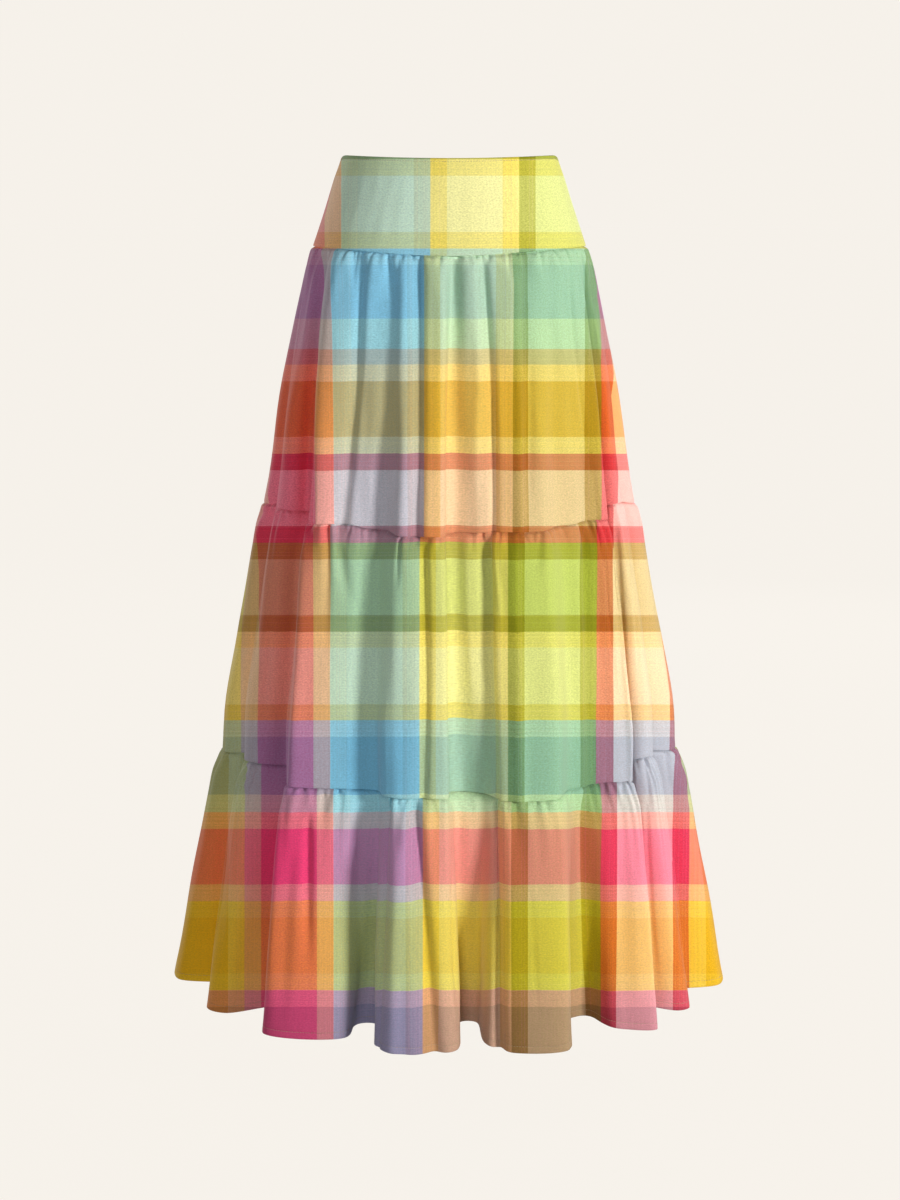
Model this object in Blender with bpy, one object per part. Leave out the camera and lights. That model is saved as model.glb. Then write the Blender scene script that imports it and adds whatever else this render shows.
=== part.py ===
"""A long skirt of three gathered tiers under a smooth yoke, hollow, in the shape that it has when worn.

Metres, +Z up. The origin is the middle of the waist at the height of its front edge, and -Y is the front.
Azimuths are in degrees from the centre front, positive towards +X, on the ellipse of the level.
A level is a nominal depth under the waist. A rise is how far a point lies above its level.
"""

import math
from collections import namedtuple

import bmesh
import bpy
import numpy as np

# Cloth and seams
WALL = 0.0015
SEAM_GAP = 0.0003
WAIST_LEVEL = 0.0
YOKE_SEAM_LEVEL = 0.100
TIER_2_SEAM_LEVEL = 0.402
TIER_3_SEAM_LEVEL = 0.695
HEM_LEVEL = 0.983
WAIST_SIDE_RISE = 0.0035
YOKE_SEAM_FRONT_DIP = 0.0075

# Towards the yoke seam the folds stand wider apart, and their corners spread evenly along the gathers
TOP_SPREAD = 14.0
CORNER_SHARES = (0.0, 0.45, 0.75, 1.0)
EVEN_SHARES = (1.0, 0.55, 0.30, 0.0)
EVEN_FACE_HALF = 4.8
EVEN_FLOOR_HALF = 2.4

# The gathers differ in height by this share, in a beat of this many radians a column
GATHER_VARIETY = 0.2
GATHER_BEAT = 1.3

# Concealed zip at the centre back
TAPE = 0.0008
TAPE_INNER_X = 0.0018
TAPE_OUTER_X = 0.0125
TAPE_TOP_INSET = 0.0040
ZIP_NOTCH_HALF = 0.0016
ZIP_NOTCH_ROWS = 2
SLIDER_LEVEL = 0.014
SLIDER_SIZE = (0.0064, 0.0030, 0.0100)
ARCH_HALF_WIDTH = 0.0007
ARCH_HALF_HEIGHT = 0.0045
ARCH_TOP = 0.0032
ARCH_WINDOW_LOW = 0.0005
ARCH_WINDOW_HIGH = 0.0025
ARCH_WINDOW_HALF_HEIGHT = 0.0030
PULL_HALF_THICK = 0.0005
PULL_BAR_HALF = 0.00045
PULL_ARM_HALF_WIDTH = 0.0022
PULL_WINDOW_HALF_WIDTH = 0.0011
PULL_WINDOW_LENGTH = 0.0065
PULL_TIP_HALF_WIDTH = 0.0031
PULL_LENGTH = 0.0240

# The crests of the folds touch these ellipses
Section = namedtuple("Section", "name level half_width half_depth")
SECTIONS = (
    Section("waist", 0.000, 0.1247, 0.0935),
    Section("mid_yoke", 0.054, 0.1418, 0.1065),
    Section("yoke_seam", 0.100, 0.1578, 0.1185),
    Section("under_yoke_seam", 0.122, 0.1652, 0.1255),
    Section("hip", 0.174, 0.1785, 0.1395),
    Section("mid_tier_1", 0.279, 0.2000, 0.1620),
    Section("tier_2_seam", 0.402, 0.2205, 0.1840),
    Section("under_tier_2_seam", 0.430, 0.2285, 0.1930),
    Section("mid_tier_2", 0.563, 0.2555, 0.2160),
    Section("low_tier_2", 0.645, 0.2712, 0.2270),
    Section("tier_3_seam", 0.695, 0.2745, 0.2320),
    Section("under_tier_3_seam", 0.725, 0.2860, 0.2440),
    Section("mid_tier_3", 0.838, 0.3100, 0.2600),
    Section("hem", 0.983, 0.3375, 0.2790),
)

# One row for each fold, round from the left side seam over the front. Its face runs from left to right,
# left_in and right_in are how far its corners lie inside the ellipse of the hem, and the valley to its
# right is valley_width degrees wide and depth_2, depth_3 and depth_hem deep at the two seams and the hem.
Fold = namedtuple("Fold", "name left right left_in right_in valley valley_width depth_2 depth_3 depth_hem")
FOLDS = (
    Fold("side_left", -104.0, -88.0, 0.003, 0.010, -79.0, 4.0, 0.020, 0.042, 0.068),
    Fold("front_1", -66.5, -60.0, 0.027, 0.036, -53.0, 4.0, 0.048, 0.072, 0.088),
    Fold("front_2", -41.5, -24.5, 0.018, 0.046, -20.3, 3.2, 0.026, 0.042, 0.084),
    Fold("front_3", -14.7, 1.2, 0.020, 0.024, 5.0, 3.8, 0.024, 0.042, 0.094),
    Fold("front_4", 8.4, 23.5, 0.028, 0.003, 34.0, 5.5, 0.016, 0.032, 0.086),
    Fold("front_5", 42.0, 47.3, 0.038, 0.014, 56.5, 4.0, 0.052, 0.074, 0.086),
    Fold("front_6", 62.5, 66.5, 0.036, 0.030, 76.0, 3.5, 0.020, 0.040, 0.064),
    Fold("side_right", 86.0, 101.0, 0.012, 0.008, 107.5, 4.0, 0.022, 0.044, 0.072),
    Fold("back_1", 113.0, 123.0, 0.012, 0.010, 128.5, 4.0, 0.028, 0.050, 0.080),
    Fold("back_2", 133.5, 143.5, 0.006, 0.018, 149.0, 3.6, 0.034, 0.052, 0.076),
    Fold("back_3", 154.0, 165.5, 0.016, 0.006, 170.0, 3.8, 0.020, 0.044, 0.090),
    Fold("back_4", 174.5, 185.5, 0.012, 0.012, 190.5, 3.6, 0.020, 0.042, 0.070),
    Fold("back_5", 195.5, 206.0, 0.005, 0.012, 211.0, 4.2, 0.036, 0.056, 0.086),
    Fold("back_6", 216.5, 226.0, 0.016, 0.008, 231.5, 3.6, 0.028, 0.050, 0.074),
    Fold("back_7", 236.5, 245.0, 0.010, 0.018, 250.0, 4.0, 0.024, 0.046, 0.078),
)

# One row for each fold: how far its seams and its hem lie above their levels, and its valley's hem
Rise = namedtuple("Rise", "name seam_2 seam_3 hem valley_hem")
RISES = (
    Rise("side_left", 0.002, -0.003, 0.006, 0.008),
    Rise("front_1", 0.003, 0.003, 0.000, 0.004),
    Rise("front_2", -0.005, -0.008, 0.000, 0.004),
    Rise("front_3", -0.013, -0.009, 0.000, 0.010),
    Rise("front_4", -0.009, -0.012, 0.000, 0.005),
    Rise("front_5", -0.004, -0.008, 0.000, 0.004),
    Rise("front_6", 0.009, 0.008, 0.000, 0.004),
    Rise("side_right", 0.003, 0.001, 0.002, 0.006),
    Rise("back_1", 0.004, 0.004, 0.000, 0.006),
    Rise("back_2", -0.003, -0.002, 0.000, 0.004),
    Rise("back_3", -0.009, -0.008, 0.001, 0.008),
    Rise("back_4", -0.012, -0.010, 0.000, 0.005),
    Rise("back_5", -0.008, -0.006, 0.002, 0.007),
    Rise("back_6", -0.003, -0.002, 0.000, 0.004),
    Rise("back_7", 0.001, 0.002, 0.003, 0.006),
)

# One row for each gathered tier. The columns of a fold are split over its face, the wall down into its
# valley, the valley's floor and the wall up to the next fold, and every second column is a gather's crest.
Tier = namedtuple("Tier", "name top bottom face down floor up gather puff")
YOKE = Tier("yoke", WAIST_LEVEL, YOKE_SEAM_LEVEL, 2, 1, 1, 1, 0.0, 0.0)
TIER_1 = Tier("tier1", YOKE_SEAM_LEVEL, TIER_2_SEAM_LEVEL, 2, 1, 1, 1, 0.0042, 0.0008)
TIER_2 = Tier("tier2", TIER_2_SEAM_LEVEL, TIER_3_SEAM_LEVEL, 4, 1, 1, 1, 0.0048, 0.0018)
TIER_3 = Tier("tier3", TIER_3_SEAM_LEVEL, HEM_LEVEL, 8, 1, 1, 1, 0.0042, 0.0022)

# One row for each ring of points down a tier: its share of the way down, of the gathers and of the puff
Row = namedtuple("Row", "share gather puff")
TIER_ROWS = (
    Row(0.000, 0.35, 0.0),
    Row(0.020, 1.00, 1.0),
    Row(0.070, 0.90, 0.8),
    Row(0.170, 0.45, 0.2),
    Row(0.350, 0.12, 0.0),
    Row(0.560, 0.00, 0.0),
    Row(0.780, 0.00, 0.0),
    Row(1.000, 0.00, 0.0),
)
YOKE_ROWS = (
    Row(0.000, 0.0, 0.0),
    Row(0.205, 0.0, 0.0),
    Row(0.300, 0.0, 0.0),
    Row(0.640, 0.0, 0.0),
    Row(1.000, 0.0, 0.0),
)
ZIP_TIER_1_ROWS = 5

SIDE_RIGHT = [fold.name for fold in FOLDS].index("side_right")
CENTRE_BACK = [fold.name for fold in FOLDS].index("back_4")

COLLECTION = "tiered_maxi_skirt"


def eased(value, places, heights):
    """A smooth curve through the places and heights that never swings past them."""
    places = np.asarray(places, float)
    heights = np.asarray(heights, float)
    slopes = np.diff(heights) / np.diff(places)
    tangents = np.zeros_like(heights)
    tangents[0] = slopes[0]
    tangents[-1] = slopes[-1]
    for index in range(1, len(heights) - 1):
        before = slopes[index - 1]
        after = slopes[index]
        if before * after > 0.0:
            tangents[index] = 2.0 * before * after / (before + after)
    value = min(max(value, places[0]), places[-1])
    index = min(int(np.searchsorted(places, value, side="right")) - 1, len(places) - 2)
    width = places[index + 1] - places[index]
    t = (value - places[index]) / width
    return (
        (1.0 + 2.0 * t) * (1.0 - t) ** 2 * heights[index]
        + t * (1.0 - t) ** 2 * width * tangents[index]
        + t * t * (3.0 - 2.0 * t) * heights[index + 1]
        - t * t * (1.0 - t) * width * tangents[index + 1]
    )


def half_sizes(level):
    """Half the width and half the depth of the ellipse at one level."""
    levels = [section.level for section in SECTIONS]
    half_width = eased(level, levels, [section.half_width for section in SECTIONS])
    half_depth = eased(level, levels, [section.half_depth for section in SECTIONS])
    return half_width, half_depth


def point_rise(level, azimuth, seam_2, seam_3, hem):
    """How far a point at one azimuth lies above its level."""
    waist = WAIST_SIDE_RISE * math.sin(azimuth) ** 2
    yoke_seam = -YOKE_SEAM_FRONT_DIP * math.cos(azimuth) ** 4
    levels = (WAIST_LEVEL, YOKE_SEAM_LEVEL, TIER_2_SEAM_LEVEL, TIER_3_SEAM_LEVEL, HEM_LEVEL)
    return eased(level, levels, (waist, yoke_seam, seam_2, seam_3, hem))


def control_points(level):
    """Four points for each fold at one level: its two corners and the two ends of its valley."""
    half_width, half_depth = half_sizes(level)
    levels = (YOKE_SEAM_LEVEL, TIER_2_SEAM_LEVEL, TIER_3_SEAM_LEVEL, HEM_LEVEL)
    corner_share = eased(level, levels, CORNER_SHARES)
    even_share = eased(level, levels, EVEN_SHARES)
    fall = min(max((level - YOKE_SEAM_LEVEL) / (HEM_LEVEL - YOKE_SEAM_LEVEL), 0.0), 1.0)
    points = []
    for index, (fold, rise) in enumerate(zip(FOLDS, RISES)):
        following = RISES[(index + 1) % len(RISES)]
        valley_in = eased(level, levels, (0.0, fold.depth_2, fold.depth_3, fold.depth_hem))
        valley_rises = (
            (rise.seam_2 + following.seam_2) / 2.0,
            (rise.seam_3 + following.seam_3) / 2.0,
            rise.valley_hem,
        )
        crest_rises = (rise.seam_2, rise.seam_3, rise.hem)
        after = FOLDS[(index + 1) % len(FOLDS)]
        centre = (fold.left + fold.right) / 2.0
        middle = centre + ((after.left + after.right) / 2.0 - centre) % 360.0 / 2.0
        evens = (
            centre - EVEN_FACE_HALF,
            centre + EVEN_FACE_HALF,
            middle - EVEN_FLOOR_HALF,
            middle + EVEN_FLOOR_HALF,
        )
        corners = (
            (fold.left, fold.left_in * corner_share, crest_rises),
            (fold.right, fold.right_in * corner_share, crest_rises),
            (fold.valley - fold.valley_width / 2.0, valley_in, valley_rises),
            (fold.valley + fold.valley_width / 2.0, valley_in, valley_rises),
        )
        for (degrees, inset, rises), even in zip(corners, evens):
            degrees += (even - degrees) * even_share
            azimuth = math.radians(degrees)
            azimuth += math.radians(TOP_SPREAD) * (1.0 - fall) * math.sin(2.0 * azimuth)
            x = (half_width - inset) * math.sin(azimuth)
            y = -(half_depth - inset) * math.cos(azimuth)
            points.append((x, y, point_rise(level, azimuth, *rises) - level))
    return np.array(points)


def curve_segment(before, start, end, after, count):
    """Points from start to end, end left out, on a curve that also heads for the points beyond them."""
    knots = [0.0]
    for first, second in ((before, start), (start, end), (end, after)):
        knots.append(knots[-1] + math.sqrt(math.dist(first[:2], second[:2])))
    t0, t1, t2, t3 = knots
    points = []
    for step in range(count):
        t = t1 + (t2 - t1) * step / count
        a1 = (t1 - t) / (t1 - t0) * before + (t - t0) / (t1 - t0) * start
        a2 = (t2 - t) / (t2 - t1) * start + (t - t1) / (t2 - t1) * end
        a3 = (t3 - t) / (t3 - t2) * end + (t - t2) / (t3 - t2) * after
        b1 = (t2 - t) / (t2 - t0) * a1 + (t - t0) / (t2 - t0) * a2
        b2 = (t3 - t) / (t3 - t1) * a2 + (t - t1) / (t3 - t1) * a3
        points.append((t2 - t) / (t2 - t1) * b1 + (t - t1) / (t2 - t1) * b2)
    return points


def ring(level, tier):
    """The middle line of the cloth at one level, from the left side seam round over the front."""
    corners = control_points(level)
    counts = (tier.face, tier.down, tier.floor, tier.up) * len(FOLDS)
    points = []
    for index, count in enumerate(counts):
        around = [corners[(index + step) % len(corners)] for step in (-1, 0, 1, 2)]
        points.extend(curve_segment(*around, count))
    return np.roll(np.array(points), -(tier.face // 2), axis=0)


def seam_ring(level, upper, lower):
    """The upper tier's bottom ring with the lower tier's points placed along its straight edges."""
    edge = ring(level, upper)
    splits = []
    for fine, coarse in zip((lower.face, lower.down, lower.floor, lower.up), upper[3:7]):
        splits.extend([fine // coarse] * coarse)
    splits = np.roll(np.array(splits * len(FOLDS)), -(upper.face // 2))
    points = []
    for index, split in enumerate(splits):
        start = edge[index]
        end = edge[(index + 1) % len(edge)]
        points.extend(start + (end - start) * step / split for step in range(split))
    return np.array(points)


def fold_columns(tier):
    """How many columns one fold takes."""
    return tier.face + tier.down + tier.floor + tier.up


def outward(points):
    """Level unit vectors that point out of a closed ring, one for each of its points."""
    along = np.roll(points, -1, axis=0) - np.roll(points, 1, axis=0)
    across = np.stack([along[:, 1], -along[:, 0], np.zeros(len(points))], axis=1)
    return across / np.linalg.norm(across, axis=1)[:, None]


def middle_surface(tier, rows, upper=None):
    """The rings of a tier down its middle surface, with its gathers, as an array of rows and columns."""
    columns = fold_columns(tier) * len(FOLDS)
    numbers = np.arange(columns)
    signs = np.where(numbers % 2 == 0, 1.0, -1.0) * (0.8 + GATHER_VARIETY * np.sin(GATHER_BEAT * numbers))
    centre_back = CENTRE_BACK * fold_columns(tier)
    if tier is TIER_1:
        signs[centre_back - 1:centre_back + 2] = 0.0
    rings = []
    for row in rows:
        level = tier.top + (tier.bottom - tier.top) * row.share
        if row.share == 0.0 and upper is not None:
            points = seam_ring(level, upper, tier)
        else:
            points = ring(level, tier)
        offset = tier.gather * row.gather * signs + tier.puff * row.puff
        rings.append(points + outward(points) * offset[:, None])
    surface = np.array(rings)
    surface[0, :, 2] -= SEAM_GAP / 2.0
    surface[-1, :, 2] += SEAM_GAP / 2.0
    return surface


def surface_normals(surface):
    """Unit vectors out of a surface, kept level along its top and bottom edges."""
    along = np.roll(surface, -1, axis=1) - np.roll(surface, 1, axis=1)
    down = np.gradient(surface, axis=0)
    normals = np.cross(along, -down)
    normals /= np.linalg.norm(normals, axis=2)[:, :, None]
    normals[0] = outward(surface[0])
    normals[-1] = outward(surface[-1])
    return normals


def panel_walls(surface, first, last, first_notch=0.0, last_notch=0.0):
    """The outer and inner points of one panel, cut from a tier between two of its columns."""
    columns = [column % surface.shape[1] for column in range(first, last + 1)]
    middle = surface[:, columns].copy()
    normals = surface_normals(surface)[:, columns]
    for end, beside, notch in ((0, 1, first_notch), (-1, -2, last_notch)):
        inwards = middle[:, beside] - middle[:, end]
        inwards /= np.linalg.norm(inwards, axis=1)[:, None]
        insets = np.full(len(middle), SEAM_GAP / 2.0)
        insets[:ZIP_NOTCH_ROWS] = max(notch, SEAM_GAP / 2.0)
        middle[:, end] += inwards * insets[:, None]
    return middle + normals * WALL / 2.0, middle - normals * WALL / 2.0


def paint(thing, colour, roughness, metallic=0.0):
    """Give a thing its own material."""
    material = bpy.data.materials.new(thing.name)
    material.use_nodes = True
    shader = material.node_tree.nodes["Principled BSDF"]
    shader.inputs["Base Color"].default_value = (*colour, 1.0)
    shader.inputs["Roughness"].default_value = roughness
    shader.inputs["Metallic"].default_value = metallic
    thing.data.materials.clear()
    thing.data.materials.append(material)


def add_object(name, mesh, collection):
    """Put a mesh into the collection as an object."""
    thing = bpy.data.objects.new(name, mesh)
    collection.objects.link(thing)
    return thing


def wall_object(name, outer, inner, collection):
    """A closed wall lofted over two grids of points, split along the same diagonals on both sides."""
    rows, columns = outer.shape[:2]
    shape = bmesh.new()
    grids = [[[shape.verts.new(point) for point in line] for line in grid] for grid in (outer, inner)]
    out, back = grids
    for row in range(rows - 1):
        for column in range(columns - 1):
            corners = ((row, column), (row + 1, column), (row + 1, column + 1), (row, column + 1))
            falling = math.dist(outer[corners[0]], outer[corners[2]])
            rising = math.dist(outer[corners[1]], outer[corners[3]])
            halves = ((0, 1, 2), (0, 2, 3)) if falling <= rising else ((0, 1, 3), (1, 2, 3))
            for half in halves:
                places = [corners[index] for index in half]
                shape.faces.new([out[r][c] for r, c in places])
                shape.faces.new([back[r][c] for r, c in reversed(places)])
    for column in range(columns - 1):
        top = (out[0][column], out[0][column + 1], back[0][column + 1], back[0][column])
        bottom = (out[-1][column + 1], out[-1][column], back[-1][column], back[-1][column + 1])
        shape.faces.new(top)
        shape.faces.new(bottom)
    for row in range(rows - 1):
        first = (out[row + 1][0], out[row][0], back[row][0], back[row + 1][0])
        last = (out[row][-1], out[row + 1][-1], back[row + 1][-1], back[row][-1])
        shape.faces.new(first)
        shape.faces.new(last)
    bmesh.ops.recalc_face_normals(shape, faces=shape.faces[:])
    mesh = bpy.data.meshes.new(name)
    shape.to_mesh(mesh)
    shape.free()
    mesh.shade_smooth()
    mesh.set_sharp_from_angle(angle=math.radians(60.0))
    return add_object(name, mesh, collection)


def build_yoke(collection):
    """The smooth yoke: one front and two backs, which part at the top of the zip."""
    surface = middle_surface(YOKE, YOKE_ROWS)
    per_fold = fold_columns(YOKE)
    right_side = SIDE_RIGHT * per_fold
    centre_back = CENTRE_BACK * per_fold
    last = len(FOLDS) * per_fold
    front = wall_object("yoke_front", *panel_walls(surface, 0, right_side), collection)
    right_walls = panel_walls(surface, right_side, centre_back, last_notch=ZIP_NOTCH_HALF)
    right = wall_object("yoke_back_right", *right_walls, collection)
    left_walls = panel_walls(surface, centre_back, last, first_notch=ZIP_NOTCH_HALF)
    left = wall_object("yoke_back_left", *left_walls, collection)
    for panel in (front, right, left):
        paint(panel, (0.80, 0.79, 0.38), 0.85)
    return surface


def build_tier_1(collection):
    """The first tier: one front and two backs, sewn together below the zip."""
    surface = middle_surface(TIER_1, TIER_ROWS, YOKE)
    per_fold = fold_columns(TIER_1)
    right_side = SIDE_RIGHT * per_fold
    centre_back = CENTRE_BACK * per_fold
    last = len(FOLDS) * per_fold
    spans = (
        ("tier1_front", 0, right_side),
        ("tier1_back_right", right_side, centre_back),
        ("tier1_back_left", centre_back, last),
    )
    for name, start, end in spans:
        panel = wall_object(name, *panel_walls(surface, start, end), collection)
        paint(panel, (0.76, 0.58, 0.33), 0.85)
    return surface


def build_lower_tier(tier, upper, colour, collection):
    """The second or the third tier: one front and one back."""
    surface = middle_surface(tier, TIER_ROWS, upper)
    right_side = SIDE_RIGHT * fold_columns(tier)
    last = len(FOLDS) * fold_columns(tier)
    for name, start, end in ((f"{tier.name}_front", 0, right_side), (f"{tier.name}_back", right_side, last)):
        panel = wall_object(name, *panel_walls(surface, start, end), collection)
        paint(panel, colour, 0.85)


def build_tapes(yoke_surface, tier_surface, collection):
    """The two zip tapes, straight strips that follow the inside of the panels beside the centre back."""
    middle = np.concatenate([yoke_surface, tier_surface[1:ZIP_TIER_1_ROWS]])
    centre_back = CENTRE_BACK * fold_columns(YOKE)
    down = np.gradient(middle[:, centre_back], axis=0)
    slope = down / np.linalg.norm(down, axis=1)[:, None]
    normals = np.stack([np.zeros(len(slope)), -slope[:, 2], slope[:, 1]], axis=1)
    for name, beside, side in (("zip_tape_right", -1, 1.0), ("zip_tape_left", 1, -1.0)):
        edge = middle[:, centre_back]
        step = middle[:, centre_back + beside] - edge
        lines = []
        for x in (TAPE_INNER_X, TAPE_OUTER_X):
            lines.append(edge + step * (side * x / step[:, 0])[:, None])
        strip = np.stack(lines, axis=1)
        strip[0] += slope[0] * TAPE_TOP_INSET
        outer = strip - normals[:, None, :] * (WALL / 2.0 + SEAM_GAP)
        inner = outer - normals[:, None, :] * TAPE
        tape = wall_object(name, outer, inner, collection)
        paint(tape, (0.72, 0.70, 0.52), 0.80)


def flat_piece(name, outline, window, half_thick):
    """A flat plate with a window, from a filled outline in the XY plane, as a mesh."""
    curve = bpy.data.curves.new(name, "CURVE")
    curve.dimensions = "2D"
    curve.fill_mode = "BOTH"
    curve.extrude = half_thick
    for line in (outline, window):
        spline = curve.splines.new("POLY")
        spline.points.add(len(line) - 1)
        for point, (x, y) in zip(spline.points, line):
            point.co = (x, y, 0.0, 1.0)
        spline.use_cyclic_u = True
    holder = bpy.data.objects.new(name, curve)
    bpy.context.scene.collection.objects.link(holder)
    bpy.context.view_layer.update()
    evaluated = holder.evaluated_get(bpy.context.evaluated_depsgraph_get())
    mesh = bpy.data.meshes.new_from_object(evaluated)
    bpy.data.objects.remove(holder)
    shape = bmesh.new()
    shape.from_mesh(mesh)
    bmesh.ops.remove_doubles(shape, verts=shape.verts[:], dist=0.00001)
    bmesh.ops.recalc_face_normals(shape, faces=shape.faces[:])
    shape.to_mesh(mesh)
    shape.free()
    mesh.name = name
    return mesh


def zip_place(yoke_surface):
    """Where the slider stands on the outside of the yoke at the centre back, and the yoke's slope there."""
    edge = yoke_surface[:, CENTRE_BACK * fold_columns(YOKE)]
    upper = edge[0]
    lower = edge[1]
    share = (-SLIDER_LEVEL - upper[2]) / (lower[2] - upper[2])
    middle = upper + (lower - upper) * share
    slope = math.atan2(lower[1] - upper[1], upper[2] - lower[2])
    normal = np.array([0.0, math.cos(slope), math.sin(slope)])
    return middle + normal * WALL / 2.0, slope


def build_slider(place, slope, collection):
    """The zip's slider: a body behind the tapes and an arch that comes out between the yoke's edges."""
    body_y = -(WALL + SEAM_GAP + TAPE + SEAM_GAP + SLIDER_SIZE[1] / 2.0)
    bpy.ops.mesh.primitive_cube_add(size=1.0, location=(0.0, body_y, 0.0))
    slider = bpy.context.object
    slider.name = "zip_slider"
    slider.data.name = "zip_slider"
    slider.scale = SLIDER_SIZE
    bpy.ops.object.transform_apply(location=True, rotation=False, scale=True)
    half = ARCH_HALF_HEIGHT
    window = ARCH_WINDOW_HALF_HEIGHT
    outline = [(body_y, -half), (ARCH_TOP, -half), (ARCH_TOP, half), (body_y, half)]
    opening = [
        (ARCH_WINDOW_LOW, -window),
        (ARCH_WINDOW_LOW, window),
        (ARCH_WINDOW_HIGH, window),
        (ARCH_WINDOW_HIGH, -window),
    ]
    arch_mesh = flat_piece("zip_arch", outline, opening, ARCH_HALF_WIDTH)
    for vertex in arch_mesh.vertices:
        y, z, x = vertex.co
        vertex.co = (x, y, z)
    arch = bpy.data.objects.new("zip_arch", arch_mesh)
    bpy.context.scene.collection.objects.link(arch)
    union = slider.modifiers.new("arch", "BOOLEAN")
    union.operation = "UNION"
    union.object = arch
    bpy.context.view_layer.objects.active = slider
    bpy.ops.object.modifier_apply(modifier=union.name)
    bpy.data.objects.remove(arch)
    for owner in slider.users_collection:
        owner.objects.unlink(slider)
    collection.objects.link(slider)
    slider.location = place
    slider.rotation_euler = (slope, 0.0, 0.0)
    paint(slider, (0.70, 0.68, 0.62), 0.35, 0.9)


def pull_outline():
    """The pull's outline: a bar, two arms and a rounded tip, in X and Y."""
    tip_y = -(PULL_LENGTH - PULL_TIP_HALF_WIDTH)
    arc = []
    for step in range(9):
        angle = math.pi * step / 8.0
        arc.append((PULL_TIP_HALF_WIDTH * math.cos(angle), tip_y - PULL_TIP_HALF_WIDTH * math.sin(angle)))
    top = [
        (-PULL_ARM_HALF_WIDTH, PULL_BAR_HALF),
        (PULL_ARM_HALF_WIDTH, PULL_BAR_HALF),
    ]
    return top + arc


def build_pull(place, slope, collection):
    """The pull tab, which hangs from the arch and lies along the cloth. Its origin is its hinge."""
    window = [
        (-PULL_WINDOW_HALF_WIDTH, -PULL_BAR_HALF),
        (-PULL_WINDOW_HALF_WIDTH, -PULL_WINDOW_LENGTH),
        (PULL_WINDOW_HALF_WIDTH, -PULL_WINDOW_LENGTH),
        (PULL_WINDOW_HALF_WIDTH, -PULL_BAR_HALF),
    ]
    mesh = flat_piece("zip_pull", pull_outline(), window, PULL_HALF_THICK)
    for vertex in mesh.vertices:
        x, z, y = vertex.co
        vertex.co = (x, -y, z)
    pull = add_object("zip_pull", mesh, collection)
    hinge = (ARCH_WINDOW_LOW + ARCH_WINDOW_HIGH) / 2.0
    pull.location = place + np.array([0.0, math.cos(slope), math.sin(slope)]) * hinge
    pull.rotation_euler = (slope, 0.0, 0.0)
    paint(pull, (0.70, 0.68, 0.62), 0.35, 0.9)


def main():
    """Build the skirt in an empty scene."""
    for thing in list(bpy.data.objects):
        bpy.data.objects.remove(thing)
    collection = bpy.data.collections.new(COLLECTION)
    bpy.context.scene.collection.children.link(collection)
    yoke_surface = build_yoke(collection)
    tier_surface = build_tier_1(collection)
    build_lower_tier(TIER_2, TIER_1, (0.71, 0.66, 0.38), collection)
    build_lower_tier(TIER_3, TIER_2, (0.80, 0.49, 0.28), collection)
    build_tapes(yoke_surface, tier_surface, collection)
    place, slope = zip_place(yoke_surface)
    build_slider(place, slope, collection)
    build_pull(place, slope, collection)


main()
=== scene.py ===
"""The looks of a long skirt of three gathered tiers under a smooth yoke, in a woven madras check.

Metres, +Z up, and -Y is the front. Levels, azimuths and rises mean what they mean for the solids: a level
is a nominal depth under the waist, an azimuth is counted in degrees from the centre front, positive towards
+X, and a rise is how far a point lies above its level. Across and down are places as they are seen in the
photograph, measured on the upright plane through the skirt's middle.
"""

import logging
import math
import random
from dataclasses import dataclass
from enum import Enum

import bpy
import numpy as np
from mathutils import Matrix, Vector


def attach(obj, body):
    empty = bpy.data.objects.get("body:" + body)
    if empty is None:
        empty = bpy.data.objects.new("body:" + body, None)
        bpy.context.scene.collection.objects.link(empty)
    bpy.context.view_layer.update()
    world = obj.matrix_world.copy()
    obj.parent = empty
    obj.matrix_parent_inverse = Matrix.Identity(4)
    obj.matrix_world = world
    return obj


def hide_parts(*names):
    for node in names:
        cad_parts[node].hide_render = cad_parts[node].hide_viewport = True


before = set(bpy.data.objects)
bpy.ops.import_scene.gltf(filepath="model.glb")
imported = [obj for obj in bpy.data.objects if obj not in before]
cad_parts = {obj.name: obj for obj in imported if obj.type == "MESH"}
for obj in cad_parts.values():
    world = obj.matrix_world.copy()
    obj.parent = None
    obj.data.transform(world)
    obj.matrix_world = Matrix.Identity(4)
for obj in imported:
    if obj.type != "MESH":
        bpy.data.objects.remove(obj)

LOG = logging.getLogger("skirt")
BODY = "skirt"
PULL_BODY = "zip_pull"


@dataclass(frozen=True)
class Section:
    """An ellipse that the crests of the folds touch."""

    name: str
    level: float
    half_width: float
    half_depth: float


@dataclass(frozen=True)
class Fold:
    """A fold's face, the valley to its right, and how far both rise above their levels."""

    name: str
    left: float
    right: float
    left_in: float
    right_in: float
    valley: float
    valley_width: float
    depth_2: float
    depth_3: float
    depth_hem: float
    rise_2: float
    rise_3: float
    rise_hem: float
    valley_rise: float


# A row for each section and for each fold, in the order of their fields.
SECTION_ROWS = (
    ("waist", 0.000, 0.1247, 0.0935),
    ("mid_yoke", 0.054, 0.1418, 0.1065),
    ("yoke_seam", 0.100, 0.1578, 0.1185),
    ("under_yoke_seam", 0.122, 0.1652, 0.1255),
    ("hip", 0.174, 0.1785, 0.1395),
    ("mid_tier_1", 0.279, 0.2000, 0.1620),
    ("tier_2_seam", 0.402, 0.2205, 0.1840),
    ("under_tier_2_seam", 0.430, 0.2285, 0.1930),
    ("mid_tier_2", 0.563, 0.2555, 0.2160),
    ("low_tier_2", 0.645, 0.2712, 0.2270),
    ("tier_3_seam", 0.695, 0.2745, 0.2320),
    ("under_tier_3_seam", 0.725, 0.2860, 0.2440),
    ("mid_tier_3", 0.838, 0.3100, 0.2600),
    ("hem", 0.983, 0.3375, 0.2790),
)

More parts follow.
